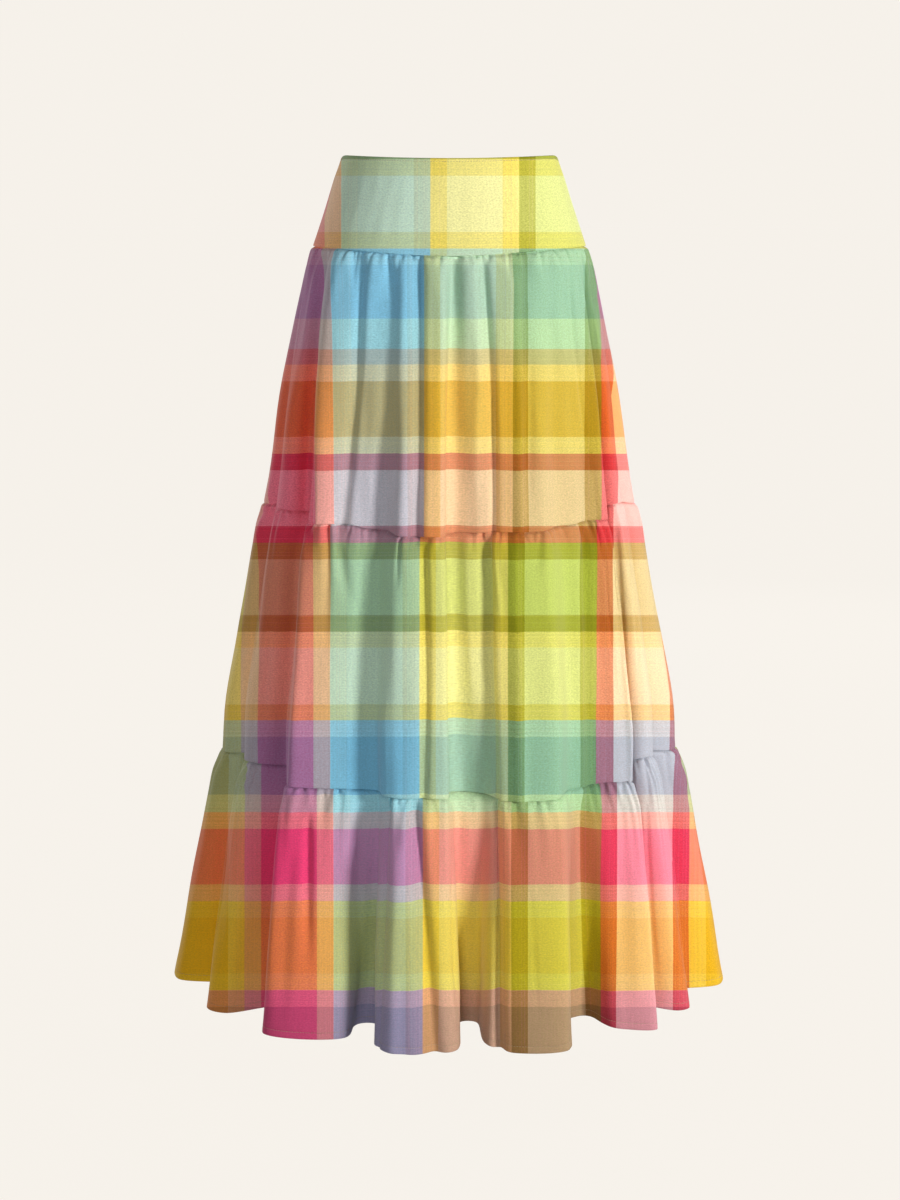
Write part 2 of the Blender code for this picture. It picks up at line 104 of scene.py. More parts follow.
FOLD_ROWS = (
    ("side_left", -104.0, -88.0, 0.003, 0.010, -79.0, 4.0, 0.020, 0.042, 0.068, 0.002, -0.003, 0.006, 0.008),
    ("front_1", -66.5, -60.0, 0.027, 0.036, -53.0, 4.0, 0.048, 0.072, 0.088, 0.003, 0.003, 0.000, 0.004),
    ("front_2", -41.5, -24.5, 0.018, 0.046, -20.3, 3.2, 0.026, 0.042, 0.084, -0.005, -0.008, 0.000, 0.004),
    ("front_3", -14.7, 1.2, 0.020, 0.024, 5.0, 3.8, 0.024, 0.042, 0.094, -0.013, -0.009, 0.000, 0.010),
    ("front_4", 8.4, 23.5, 0.028, 0.003, 34.0, 5.5, 0.016, 0.032, 0.086, -0.009, -0.012, 0.000, 0.005),
    ("front_5", 42.0, 47.3, 0.038, 0.014, 56.5, 4.0, 0.052, 0.074, 0.086, -0.004, -0.008, 0.000, 0.004),
    ("front_6", 62.5, 66.5, 0.036, 0.030, 76.0, 3.5, 0.020, 0.040, 0.064, 0.009, 0.008, 0.000, 0.004),
    ("side_right", 86.0, 101.0, 0.012, 0.008, 107.5, 4.0, 0.022, 0.044, 0.072, 0.003, 0.001, 0.002, 0.006),
    ("back_1", 113.0, 123.0, 0.012, 0.010, 128.5, 4.0, 0.028, 0.050, 0.080, 0.004, 0.004, 0.000, 0.006),
    ("back_2", 133.5, 143.5, 0.006, 0.018, 149.0, 3.6, 0.034, 0.052, 0.076, -0.003, -0.002, 0.000, 0.004),
    ("back_3", 154.0, 165.5, 0.016, 0.006, 170.0, 3.8, 0.020, 0.044, 0.090, -0.009, -0.008, 0.001, 0.008),
    ("back_4", 174.5, 185.5, 0.012, 0.012, 190.5, 3.6, 0.020, 0.042, 0.070, -0.012, -0.010, 0.000, 0.005),
    ("back_5", 195.5, 206.0, 0.005, 0.012, 211.0, 4.2, 0.036, 0.056, 0.086, -0.008, -0.006, 0.002, 0.007),
    ("back_6", 216.5, 226.0, 0.016, 0.008, 231.5, 3.6, 0.028, 0.050, 0.074, -0.003, -0.002, 0.000, 0.004),
    ("back_7", 236.5, 245.0, 0.010, 0.018, 250.0, 4.0, 0.024, 0.046, 0.078, 0.001, 0.002, 0.003, 0.006),
)
SECTIONS = tuple(Section(*row) for row in SECTION_ROWS)
FOLDS = tuple(Fold(*row) for row in FOLD_ROWS)
FOLD_NAMES = [fold.name for fold in FOLDS]
SIDE_RIGHT = FOLD_NAMES.index("side_right")
CENTRE_BACK = FOLD_NAMES.index("back_4")


def smooth(value: np.ndarray, low: float, high: float) -> np.ndarray:
    """A soft step from 0 at low to 1 at high."""
    share = np.clip((value - low) / (high - low), 0.0, 1.0)
    return share * share * (3.0 - 2.0 * share)


def eased(value: float, places: tuple[float, ...], heights: tuple[float, ...]) -> float:
    """Read a smooth curve that never swings past its points.

    Args:
        value: Where the curve is read.
        places: The places of its points, in rising order.
        heights: Its height at each of them.

    Returns:
        The curve's height there, held level past both ends.
    """
    slopes = [(heights[i + 1] - heights[i]) / (places[i + 1] - places[i]) for i in range(len(places) - 1)]
    tangents = [slopes[0], *[0.0] * (len(places) - 2), slopes[-1]]
    for index in range(1, len(places) - 1):
        before, after = slopes[index - 1], slopes[index]
        if before * after > 0.0:
            tangents[index] = 2.0 * before * after / (before + after)
    value = min(max(value, places[0]), places[-1])
    index = max(i for i in range(len(places) - 1) if places[i] <= value)
    width = places[index + 1] - places[index]
    t = (value - places[index]) / width
    return (
        (1.0 + 2.0 * t) * (1.0 - t) ** 2 * heights[index]
        + t * (1.0 - t) ** 2 * width * tangents[index]
        + t * t * (3.0 - 2.0 * t) * heights[index + 1]
        - t * t * (1.0 - t) * width * tangents[index + 1]
    )


def walked(points: np.ndarray) -> np.ndarray:
    """How far along its row each point lies from the row's first point."""
    steps = np.linalg.norm(np.diff(points, axis=1), axis=2)
    return np.concatenate([np.zeros((len(points), 1)), np.cumsum(steps, axis=1)], axis=1)


def outward(points: np.ndarray) -> np.ndarray:
    """Level unit vectors that point out of a closed ring, one for each of its points.

    Args:
        points: The ring's points, in order.

    Returns:
        The vectors.
    """
    along = np.roll(points, -1, axis=0) - np.roll(points, 1, axis=0)
    across = np.stack([along[:, 1], -along[:, 0], np.zeros(len(points))], axis=1)
    return across / np.linalg.norm(across, axis=1)[:, None]


@dataclass(frozen=True)
class Counts:
    """How many columns a fold has on its face, down into its valley, on the floor and up again."""

    face: int
    down: int
    floor: int
    up: int

    @property
    def fold(self) -> int:
        """The columns of one fold."""
        return self.face + self.down + self.floor + self.up

    @property
    def around(self) -> int:
        """The columns of the whole ring."""
        return self.fold * len(FOLDS)

    @property
    def each(self) -> np.ndarray:
        """The columns of each stretch of the ring, four stretches to a fold."""
        return np.tile([self.face, self.down, self.floor, self.up], len(FOLDS))

    def spread(self) -> tuple[np.ndarray, np.ndarray]:
        """Place each column on its stretch of the ring.

        Returns:
            The number of its stretch, four to a fold, and its share of the way along it.
        """
        stretch = np.repeat(np.arange(len(self.each)), self.each)
        share = np.concatenate([np.arange(count) / count for count in self.each])
        return np.roll(stretch, -(self.face // 2)), np.roll(share, -(self.face // 2))


@dataclass(frozen=True)
class SkirtForm:
    """The shape that the cloth hangs in: the ellipses, folds and seam levels of the solids."""

    waist: float = 0.0
    yoke_seam: float = 0.100
    tier_2_seam: float = 0.402
    tier_3_seam: float = 0.695
    hem: float = 0.983
    side_rise: float = 0.0035
    front_dip: float = 0.0075
    top_spread: float = 14.0
    corner_shares: tuple[float, ...] = (0.0, 0.45, 0.75, 1.0)
    even_shares: tuple[float, ...] = (1.0, 0.55, 0.30, 0.0)
    even_face_half: float = 4.8
    even_floor_half: float = 2.4
    corner_from: float = 0.945
    corner_drop: float = 0.0058
    corner_deep: float = 0.030
    corner_limit: float = 0.995

    def corner(self, levels: np.ndarray, base: np.ndarray) -> np.ndarray:
        """How far the cloth drops at the sides of the waist, where its edge rounds off over the hips.

        Args:
            levels: The level of each row.
            base: The rows and columns of points on the form.

        Returns:
            The drop at each point.
        """
        widths = np.array([self.half_sizes(max(level, 0.0))[0] for level in levels])[:, None]
        aside = np.abs(base[..., 0]) / widths
        reach = np.clip((aside - self.corner_from) / (1.0 - self.corner_from), 0.0, self.corner_limit)
        fall = 1.0 - smooth(levels, 0.0, self.corner_deep)
        return self.corner_drop * (1.0 - np.sqrt(1.0 - reach**2)) * fall[:, None]

    def half_sizes(self, level: float) -> tuple[float, float]:
        """Half the width and half the depth of the ellipse at one level.

        Args:
            level: The depth under the waist.

        Returns:
            The two halves, in metres.
        """
        levels = tuple(section.level for section in SECTIONS)
        width = eased(level, levels, tuple(section.half_width for section in SECTIONS))
        depth = eased(level, levels, tuple(section.half_depth for section in SECTIONS))
        return width, depth

    def rise(self, level: float, azimuth: float, rises: tuple[float, float, float]) -> float:
        """How far a point at one azimuth, in radians, lies above its level.

        Args:
            level: The depth under the waist.
            azimuth: Where the point lies round the skirt, in radians.
            rises: How far the cloth there rises at tier 2's seam, at tier 3's and at the hem.

        Returns:
            The height above the level, in metres.
        """
        waist = self.side_rise * math.sin(azimuth) ** 2
        yoke_seam = -self.front_dip * math.cos(azimuth) ** 4
        levels = (self.waist, self.yoke_seam, self.tier_2_seam, self.tier_3_seam, self.hem)
        return eased(level, levels, (waist, yoke_seam, *rises))

    def corners(self, level: float) -> np.ndarray:
        """Find the points that steer the ring at one level.

        Args:
            level: The depth under the waist.

        Returns:
            Four points for each fold, the two corners of its face and the two ends of its valley.
        """
        half_width, half_depth = self.half_sizes(level)
        levels = (self.yoke_seam, self.tier_2_seam, self.tier_3_seam, self.hem)
        corner_share = eased(level, levels, self.corner_shares)
        even_share = eased(level, levels, self.even_shares)
        fall = min(max((level - self.yoke_seam) / (self.hem - self.yoke_seam), 0.0), 1.0)
        points = []
        for index, fold in enumerate(FOLDS):
            after = FOLDS[(index + 1) % len(FOLDS)]
            valley_in = eased(level, levels, (0.0, fold.depth_2, fold.depth_3, fold.depth_hem))
            crest = (fold.rise_2, fold.rise_3, fold.rise_hem)
            middle_2 = (fold.rise_2 + after.rise_2) / 2.0
            middle_3 = (fold.rise_3 + after.rise_3) / 2.0
            valley = (middle_2, middle_3, fold.valley_rise)
            centre = (fold.left + fold.right) / 2.0
            middle = centre + ((after.left + after.right) / 2.0 - centre) % 360.0 / 2.0
            half = fold.valley_width / 2.0
            placed = (
                (fold.left, centre - self.even_face_half, fold.left_in * corner_share, crest),
                (fold.right, centre + self.even_face_half, fold.right_in * corner_share, crest),
                (fold.valley - half, middle - self.even_floor_half, valley_in, valley),
                (fold.valley + half, middle + self.even_floor_half, valley_in, valley),
            )
            for degrees, even, inset, rises in placed:
                azimuth = math.radians(degrees + (even - degrees) * even_share)
                azimuth += math.radians(self.top_spread) * (1.0 - fall) * math.sin(2.0 * azimuth)
                x = (half_width - inset) * math.sin(azimuth)
                y = -(half_depth - inset) * math.cos(azimuth)
                points.append((x, y, self.rise(level, azimuth, rises) - level))
        return np.array(points)

    def ring(self, level: float, counts: Counts) -> np.ndarray:
        """Follow the cloth once round at one level, from the left side seam over the front.

        Args:
            level: The depth under the waist.
            counts: How many columns each fold has.

        Returns:
            One point for each column, on a smooth curve through the steering points.
        """
        start = self.corners(level)
        before, end, after = (np.roll(start, shift, axis=0) for shift in (1, -1, -2))
        t1 = np.sqrt(np.linalg.norm((start - before)[:, :2], axis=1))
        t2 = t1 + np.sqrt(np.linalg.norm((end - start)[:, :2], axis=1))
        t3 = t2 + np.sqrt(np.linalg.norm((after - end)[:, :2], axis=1))
        stretch, share = counts.spread()
        before, start, end, after = (line[stretch] for line in (before, start, end, after))
        t1, t2, t3 = (line[stretch][:, None] for line in (t1, t2, t3))
        t = t1 + (t2 - t1) * share[:, None]
        a1 = ((t1 - t) * before + t * start) / t1
        a2 = ((t2 - t) * start + (t - t1) * end) / (t2 - t1)
        a3 = ((t3 - t) * end + (t - t2) * after) / (t3 - t2)
        b1 = ((t2 - t) * a1 + t * a2) / t2
        b2 = ((t3 - t) * a2 + (t - t1) * a3) / (t3 - t1)
        return ((t2 - t) * b1 + (t - t1) * b2) / (t2 - t1)


@dataclass(frozen=True)
class PhotoView:
    """Where the photograph was taken from, and the upright plane on which its places are measured."""

    distance: float = 3.10
    aside: float = 0.0006
    pitch: float = math.radians(9.434)
    focal_pixels: float = 2660.0
    frame_height: float = 1200.0
    sensor: float = 36.0

    def depth(self, points: np.ndarray) -> np.ndarray:
        """How far the points lie in front of the camera."""
        return (points[..., 1] + self.distance) * math.cos(self.pitch) - points[..., 2] * math.sin(self.pitch)

    def flatten(self, points: np.ndarray) -> tuple[np.ndarray, np.ndarray]:
        """How far across and how far down the points appear, on the plane through the skirt's middle.

        Args:
            points: The points.

        Returns:
            Their distances across and down, in metres.
        """
        depth = self.depth(points)
        up = (points[..., 1] + self.distance) * math.sin(self.pitch) + points[..., 2] * math.cos(self.pitch)
        across = (points[..., 0] - self.aside) * self.distance / depth + self.aside
        return across, self.distance * (math.tan(self.pitch) - up / depth)

    def place_camera(self) -> None:
        """Add the camera and make it the scene's own."""
        data = bpy.data.cameras.new("view")
        data.sensor_width = self.sensor
        data.lens = self.sensor * self.focal_pixels / self.frame_height
        camera = Bench.add("view", data)
        camera.location = (self.aside, -self.distance, 0.0)
        camera.rotation_euler = (math.pi / 2.0 - self.pitch, 0.0, 0.0)
        bpy.context.scene.camera = camera


FORM = SkirtForm()
VIEW = PhotoView()


class Side(Enum):
    """Which side of the skirt a panel or a crease is seen from."""

    FRONT = "front"
    BACK = "back"


def seen_place(points: np.ndarray, side: Side) -> tuple[np.ndarray, np.ndarray]:
    """How far across and down the points appear from one side of the skirt.

    Args:
        points: The points.
        side: The side that they are seen from.

    Returns:
        Their distances across and down, in metres.
    """
    if side is Side.FRONT:
        return VIEW.flatten(points)
    level_with_middle = points * np.array([1.0, 0.0, 1.0])
    return -points[..., 0], VIEW.flatten(level_with_middle)[1]


class Run(Enum):
    """How a crease begins and ends."""

    PUCKER = "sharp under the seam and fading below"
    FOLD = "soft at both ends"
    THROUGH = "from seam to seam"


# How creases begin and end, as shares of their length, and how far they follow the cloth as it turns away.
PUCKER_START = (-0.8, -0.2)
PUCKER_FALL = 1.4
FOLD_START = (0.0, 0.22)
FOLD_END = (0.62, 1.0)
THROUGH_START = (-0.05, 0.08)
CREASE_FACING = (-0.05, 0.35)
MILLIMETRES = 1000.0


@dataclass(frozen=True)
class Crease:
    """One crease: its two ends are across and down in millimetres, as it is seen.

    Its trough is left_wide to the left and right_wide to the right of its line, and as deep as it says at
    the line. Its lower end is wider by the factor widened. A negative depth is a ridge. Its line bows
    sideways by bow.
    """

    run: Run
    across: float
    down: float
    to_across: float
    to_down: float
    left_wide: float
    right_wide: float
    deep: float
    widened: float = 1.0
    bow: float = 0.0

    def troughs(self, across: np.ndarray, down: np.ndarray) -> np.ndarray:
        """Measure how deep the crease is at each place.

        Args:
            across: How far across the places are, in metres.
            down: How far down they are, in metres.

        Returns:
            The depth at each place, in metres.
        """
        raw = (down * MILLIMETRES - self.down) / (self.to_down - self.down)
        share = np.clip(raw, 0.0, 1.0)
        centre = self.across + (self.to_across - self.across) * share + self.bow * 4.0 * share * (1.0 - share)
        aside = across * MILLIMETRES - centre
        widen = 1.0 + (self.widened - 1.0) * share
        wide = np.where(aside < 0.0, self.left_wide, self.right_wide) * widen
        profile = np.exp(-((aside / wide) ** 2))
        if self.run is Run.PUCKER:
            length = (1.0 - share) ** PUCKER_FALL * smooth(raw, *PUCKER_START)
        elif self.run is Run.FOLD:
            length = smooth(raw, *FOLD_START) * (1.0 - smooth(raw, *FOLD_END))
        else:
            length = smooth(raw, *THROUGH_START)
        return self.deep / MILLIMETRES * profile * length


PUCKER, FOLD, THROUGH = Run

# A row for each crease, in the order of Crease's fields.
FRONT_ROWS = {
    "tier1": (
        (THROUGH, -133, 104, -152, 340, 5, 18, -6.5, 1.3, -3),
        (THROUGH, -148, 106, -166, 420, 8, 5, 10.0, 1.2, -2),
        (PUCKER, -136, 106, -134, 172, 5, 3, 4.0, 1.5),
        (PUCKER, -156, 106, -156, 175, 4, 4, 2.8, 1.4),
        (FOLD, -167, 112, -181, 300, 6, 6, 2.4),
        (THROUGH, -103, 108, -126, 430, 6, 5, 6.0, 1.4, 5),
        (THROUGH, -69, 118, -70, 430, 15, 7, 5.5, 1.2, 2),
        (THROUGH, -37, 112, -39, 430, 9, 7, 9.5, 1.1, 2),
        (THROUGH, 5, 113, 5, 430, 8, 10, 13.5, 1.2, 1),
        (THROUGH, 39, 113, 49, 430, 7, 6, 9.0, 1.2, 4),
        (THROUGH, 31, 130, 34, 430, 7, 6, -2.2),
        (THROUGH, -10, 130, -8, 430, 9, 9, -2.4),
        (THROUGH, 76, 130, 82, 430, 12, 6, -5.0),
        (PUCKER, 91, 112, 88, 300, 6, 6, 5.0, 1.8),
        (FOLD, 96, 220, 92, 430, 7, 6, 3.8),
        (THROUGH, 139, 110, 172, 402, 2, 3, 1.3, 1.0, -6),
        (PUCKER, 149, 112, 155, 180, 2.5, 2.5, 1.8),
        (FOLD, 164, 125, 178, 300, 5, 6, 2.2),
        (PUCKER, -91, 106, -86, 120, 2.2, 2.2, 2.0, 1.6),
        (PUCKER, -80, 107, -87, 142, 2.4, 2.8, 3.0, 1.8),
        (PUCKER, -76, 107, -72, 122, 2.0, 2.0, 1.6, 1.6),
        (PUCKER, -66, 108, -60, 124, 2.2, 2.2, 2.0, 1.6),
        (PUCKER, -58, 109, -63, 146, 2.2, 3.0, 3.4, 1.8),
        (PUCKER, -46, 110, -38, 126, 2.2, 2.2, 2.2, 1.8),
        (PUCKER, -8, 111, -1, 124, 2.2, 2.2, 2.0, 1.6),
        (PUCKER, 13, 111, 4, 126, 2.2, 2.2, 2.4, 1.6),
        (PUCKER, 20, 111, 27, 129, 2.2, 2.2, 2.6, 1.6),
        (PUCKER, 46, 109, 45, 123, 2.0, 2.0, 2.0, 1.5),
        (PUCKER, 54, 109, 58, 123, 2.0, 2.0, 2.2, 1.5),
        (PUCKER, 81, 109, 74, 124, 2.2, 2.2, 2.4, 1.6),
        (PUCKER, 103, 107, 88, 126, 1.8, 1.8, 1.8, 1.4),
        (PUCKER, 119, 105, 116, 130, 1.8, 1.8, 1.6, 1.5),
        (PUCKER, 131, 106, 135, 121, 1.8, 1.8, 1.4, 1.5),
        (PUCKER, -149, 103, -150, 118, 2.2, 2.2, 2.2, 1.5),
        (PUCKER, -122, 104, -125, 124, 2.2, 2.2, 2.4, 1.6),
        (PUCKER, -116, 104, -113, 122, 2.0, 2.0, 1.8, 1.6),
        (PUCKER, -104, 105, -99, 119, 2.0, 2.0, 1.8, 1.6),
    ),
    "tier2": (
        (PUCKER, -141, 430, -144, 590, 4, 3, 6.5, 1.8),
        (THROUGH, -169, 446, -187, 745, 3, 9, -2.6, 1.3),
        (THROUGH, -177, 446, -195, 745, 8, 4, 2.6, 1.3),
        (FOLD, -133, 440, -114, 530, 6, 6, 2.8, 1.4),
        (THROUGH, -71, 436, -74, 745, 13, 6, 2.4, 1.4, -2),
        (THROUGH, -29, 440, -29, 745, 9, 3, 6.5, 1.3, 3),
        (THROUGH, -6, 450, -2, 745, 9, 9, -2.2, 1.1),
        (THROUGH, 5, 440, 13, 745, 8, 9, 16.0, 1.4),
        (FOLD, 17, 446, 27, 660, 1.8, 3, -1.4),
        (THROUGH, 41, 440, 48, 745, 6, 6, 9.5, 1.5),
        (FOLD, 50, 440, 61, 560, 1.8, 3, -1.4),
        (FOLD, 28, 610, 36, 900, 16, 14, 6.0),
        (THROUGH, 76, 450, 84, 745, 10, 6, -5.0),
        (FOLD, 177, 430, 197, 655, 1.8, 2.4, 1.4),
        (FOLD, 210, 420, 224, 655, 1.8, 2.4, 1.4),
        (THROUGH, 158, 432, 168, 745, 6, 4, 4.4, 1.5),
        (THROUGH, 194, 420, 209, 745, 6, 4, 3.6, 1.5),
        (FOLD, 143, 470, 140, 700, 9, 9, 2.0),
        (FOLD, 104, 480, 100, 740, 12, 12, 1.8),
        (FOLD, -219, 440, -234, 660, 5, 6, 2.2),
        (FOLD, -203, 440, -220, 700, 6, 6, 2.2),
        (FOLD, -100, 480, -104, 700, 10, 8, 2.0),
        (PUCKER, -96, 433, -96, 456, 2.2, 2.4, 2.4, 1.6),
        (PUCKER, -84, 434, -87, 474, 2.4, 2.8, 3.2, 1.6),
        (PUCKER, -74, 435, -68, 460, 2.4, 2.4, 2.6, 1.6),
        (PUCKER, -8, 443, -6, 464, 2.2, 2.2, 2.6, 1.5),
        (PUCKER, 27, 442, 26, 470, 2.4, 2.4, 3.0, 1.6),
        (PUCKER, 36, 441, 34, 463, 2.2, 2.2, 2.4, 1.5),
        (PUCKER, 124, 431, 123, 449, 2.0, 2.0, 2.0, 1.5),
        (PUCKER, 132, 429, 139, 456, 2.0, 2.4, 2.4, 1.6),
        (PUCKER, 154, 427, 160, 474, 2.4, 2.6, 3.0, 1.8),
        (PUCKER, -116, 433, -123, 450, 2.2, 2.2, 2.4, 1.5),
        (PUCKER, -130, 432, -127, 448, 2.0, 2.0, 2.0, 1.5),
        (PUCKER, 82, 438, 85, 460, 2.2, 2.2, 2.4, 1.5),
        (PUCKER, 100, 434, 97, 456, 2.2, 2.2, 2.4, 1.5),
        (PUCKER, 65, 441, 69, 468, 2.2, 2.4, 2.8, 1.6),
        (PUCKER, -23, 443, -22, 464, 2.2, 2.2, 2.2, 1.5),
        (PUCKER, -209, 409, -200, 426, 2.2, 2.2, 2.4, 1.5),
        (PUCKER, -219, 410, -213, 438, 2.2, 2.2, 2.6, 1.5),
        (PUCKER, -192, 412, -190, 434, 2.2, 2.2, 2.2, 1.5),
        (PUCKER, 179, 403, 185, 440, 2.2, 2.4, 2.6, 1.5),
        (PUCKER, 201, 400, 199, 426, 2.0, 2.0, 2.0, 1.5),
    ),
    "tier3": (
        (FOLD, -194, 730, -216, 1010, 2, 5, -1.6),
        (FOLD, -164, 745, -166, 960, 6, 4, 6.0, 1.4),
        (PUCKER, -158, 735, -159, 775, 3, 3, 3.6, 1.5),
        (FOLD, -185, 790, -198, 1030, 8, 8, 2.4),
        (PUCKER, -259, 706, -257, 756, 3, 3, 3.6, 1.5),
        (PUCKER, -239, 706, -234, 768, 3, 3, 3.6, 1.5),
        (FOLD, -262, 760, -270, 960, 7, 7, 2.6),
        (PUCKER, -71, 743, -82, 796, 3, 4, 4.6, 1.8),
        (THROUGH, -80, 742, -104, 1060, 7, 10, 12.0, 1.7, 4),
        (THROUGH, -62, 800, -66, 1060, 9, 9, -4.0, 1.2),
        (THROUGH, -41, 742, -15, 1060, 8, 6, 9.5, 1.5),
        (FOLD, -6, 835, 7, 985, 2, 2.4, 1.4),
        (THROUGH, -52, 770, -44, 1060, 10, 10, -3.0),
        (FOLD, 8, 720, 14, 1030, 7, 8, 9.0),
        (THROUGH, 49, 745, 54, 1060, 9, 9, 13.0, 1.2),
        (FOLD, 72, 760, 73, 1000, 4, 8, -1.8),
        (PUCKER, 78, 752, 76, 836, 3, 4, 3.6, 1.6),
        (FOLD, 93, 835, 104, 1020, 2, 2.4, 1.4),
        (THROUGH, 155, 740, 159, 1060, 8, 10, 10.5, 1.4),
        (THROUGH, 182, 742, 192, 1060, 10, 12, -3.0),
        (FOLD, 231, 712, 246, 990, 2.4, 3, 1.8, 1.3, -6),
        (FOLD, 259, 745, 281, 975, 7, 8, 3.2, 1.2),
        (FOLD, 214, 800, 222, 1010, 10, 10, -1.8),
        (PUCKER, 68, 755, 71, 794, 2.4, 2.4, 3.0, 1.6),
        (PUCKER, 55, 756, 59, 780, 2.2, 2.2, 2.6, 1.5),
        (PUCKER, 45, 755, 48, 776, 2.2, 2.2, 2.4, 1.5),
        (PUCKER, 95, 751, 103, 778, 2.2, 2.4, 2.8, 1.5),
        (PUCKER, 115, 749, 112, 776, 2.2, 2.2, 2.4, 1.5),
        (PUCKER, 129, 745, 128, 782, 2.4, 2.4, 3.0, 1.5),
        (PUCKER, 145, 743, 144, 779, 2.4, 2.4, 3.0, 1.5),
        (PUCKER, 161, 741, 164, 790, 2.4, 2.8, 3.4, 1.6),
        (PUCKER, 166, 740, 177, 796, 2.4, 2.8, 3.2, 1.6),
        (PUCKER, 181, 738, 178, 772, 2.4, 2.4, 3.0, 1.5),
        (PUCKER, 201, 737, 207, 792, 2.4, 2.4, 3.0, 1.5),
        (PUCKER, 213, 734, 230, 815, 2.2, 2.4, 3.0, 1.5),
        (PUCKER, 229, 713, 239, 790, 2.4, 2.4, 3.0, 1.5),
        (PUCKER, 252, 702, 260, 756, 2.6, 2.8, 3.4, 1.6),
        (PUCKER, 236, 711, 234, 736, 2.2, 2.2, 2.4, 1.5),
        (PUCKER, -182, 734, -177, 752, 2.2, 2.2, 2.4, 1.5),
        (PUCKER, -171, 734, -165, 750, 2.2, 2.2, 2.4, 1.5),
        (PUCKER, -139, 736, -143, 762, 2.2, 2.2, 2.4, 1.5),
        (PUCKER, -130, 738, -125, 759, 2.2, 2.2, 2.4, 1.5),
        (PUCKER, -62, 746, -58, 766, 2.2, 2.2, 2.4, 1.5),
        (PUCKER, -53, 748, -58, 771, 2.2, 2.2, 2.6, 1.5),
        (PUCKER, -40, 750, -38, 773, 2.2, 2.2, 2.4, 1.5),
        (PUCKER, -25, 750, -27, 771, 2.2, 2.2, 2.4, 1.5),
        (PUCKER, -11, 750, -9, 771, 2.2, 2.2, 2.4, 1.5),
        (PUCKER, 3, 751, 1, 768, 2.2, 2.2, 2.2, 1.5),
    ),
}

BACK_ROWS = {
    "tier1": (
        (THROUGH, -128, 108, -150, 400, 6, 16, -3.4, 1.3, 3),
        (FOLD, -141, 112, -160, 330, 6, 6, 3.0),
        (PUCKER, -104, 106, -109, 230, 5, 6, 3.4, 2.0),
        (THROUGH, -78, 108, -84, 430, 8, 8, 3.2, 1.5, -4),
        (PUCKER, -52, 106, -46, 260, 6, 4, 4.0, 1.5, 2),
        (FOLD, -38, 200, -34, 430, 9, 9, 2.4),
        (THROUGH, -22, 112, -18, 430, 6, 9, -1.8),
        (PUCKER, 24, 106, 30, 240, 5, 7, 3.6, 1.8),
        (THROUGH, 50, 108, 62, 430, 7, 7, 3.8, 1.5, 4),
        (FOLD, 74, 150, 80, 390, 9, 8, -2.0),
        (PUCKER, 92, 106, 90, 250, 6, 5, 3.4, 1.7),
        (THROUGH, 118, 108, 138, 430, 8, 6, 3.0, 1.3),
        (FOLD, 146, 115, 158, 310, 5, 6, 2.4),
    ),
    "tier2": (
        (THROUGH, -176, 412, -198, 745, 8, 5, 3.0, 1.3),
        (THROUGH, -140, 410, -149, 745, 5, 6, 4.6, 1.8, 3),
        (FOLD, -118, 430, -121, 690, 10, 9, -2.2),
        (THROUGH, -88, 410, -96, 745, 5, 5, 5.4, 2.0),
        (FOLD, -60, 440, -58, 700, 9, 8, 2.2),
        (THROUGH, -32, 412, -37, 745, 7, 4, 4.0, 1.5, -3),
        (FOLD, -10, 430, -8, 720, 8, 9, -2.2),
        (THROUGH, 16, 412, 22, 745, 4, 6, 4.8, 1.5),
        (FOLD, 44, 440, 50, 640, 6, 7, 2.6),
        (THROUGH, 72, 410, 77, 745, 6, 5, 4.4, 1.7, 2),
        (FOLD, 100, 430, 106, 700, 10, 10, -2.0),
        (THROUGH, 128, 410, 140, 745, 5, 6, 5.0, 1.8, -3),
        (FOLD, 160, 420, 172, 660, 6, 6, 2.6),
        (FOLD, 196, 410, 208, 680, 6, 6, 2.4),
    ),
    "tier3": (
        (FOLD, -262, 720, -280, 980, 7, 7, 3.0),
        (FOLD, -216, 730, -228, 1000, 8, 8, 3.2),
        (PUCKER, -190, 700, -194, 790, 3, 4, 4.0, 1.7),
        (FOLD, -166, 760, -176, 1000, 9, 8, -2.2),
        (PUCKER, -134, 700, -130, 800, 4, 4, 4.2, 1.8),
        (FOLD, -112, 740, -118, 1000, 10, 9, 3.4),
        (PUCKER, -78, 700, -82, 780, 3, 4, 4.0, 1.6),
        (FOLD, -58, 760, -62, 1010, 9, 10, -2.2),
        (PUCKER, -30, 700, -28, 830, 4, 4, 4.0, 1.8),
        (FOLD, -4, 780, 2, 1010, 10, 8, 3.2),
        (PUCKER, 28, 700, 30, 790, 4, 3, 4.0, 1.6),
        (FOLD, 58, 750, 64, 1000, 9, 9, 3.4),
        (PUCKER, 88, 700, 92, 800, 4, 4, 4.2, 1.7),
        (FOLD, 120, 770, 128, 1010, 9, 9, -2.2),
        (PUCKER, 150, 700, 156, 790, 3, 4, 4.0, 1.6),
        (FOLD, 180, 750, 192, 990, 9, 8, 3.2),
        (PUCKER, 214, 700, 220, 790, 3, 4, 4.0, 1.6),
        (FOLD, 250, 730, 268, 980, 7, 7, 2.8),
    ),
}

CREASES = {
    side: {name: tuple(Crease(*row) for row in rows) for name, rows in table.items()}
    for side, table in ((Side.FRONT, FRONT_ROWS), (Side.BACK, BACK_ROWS))
}


@dataclass(frozen=True)
class Pucker:
    """A short crease that a gather leaves under its seam. Its place is measured round the seam."""

    place: float
    deep: float
    half_wide: float
    length: float
    lean: float


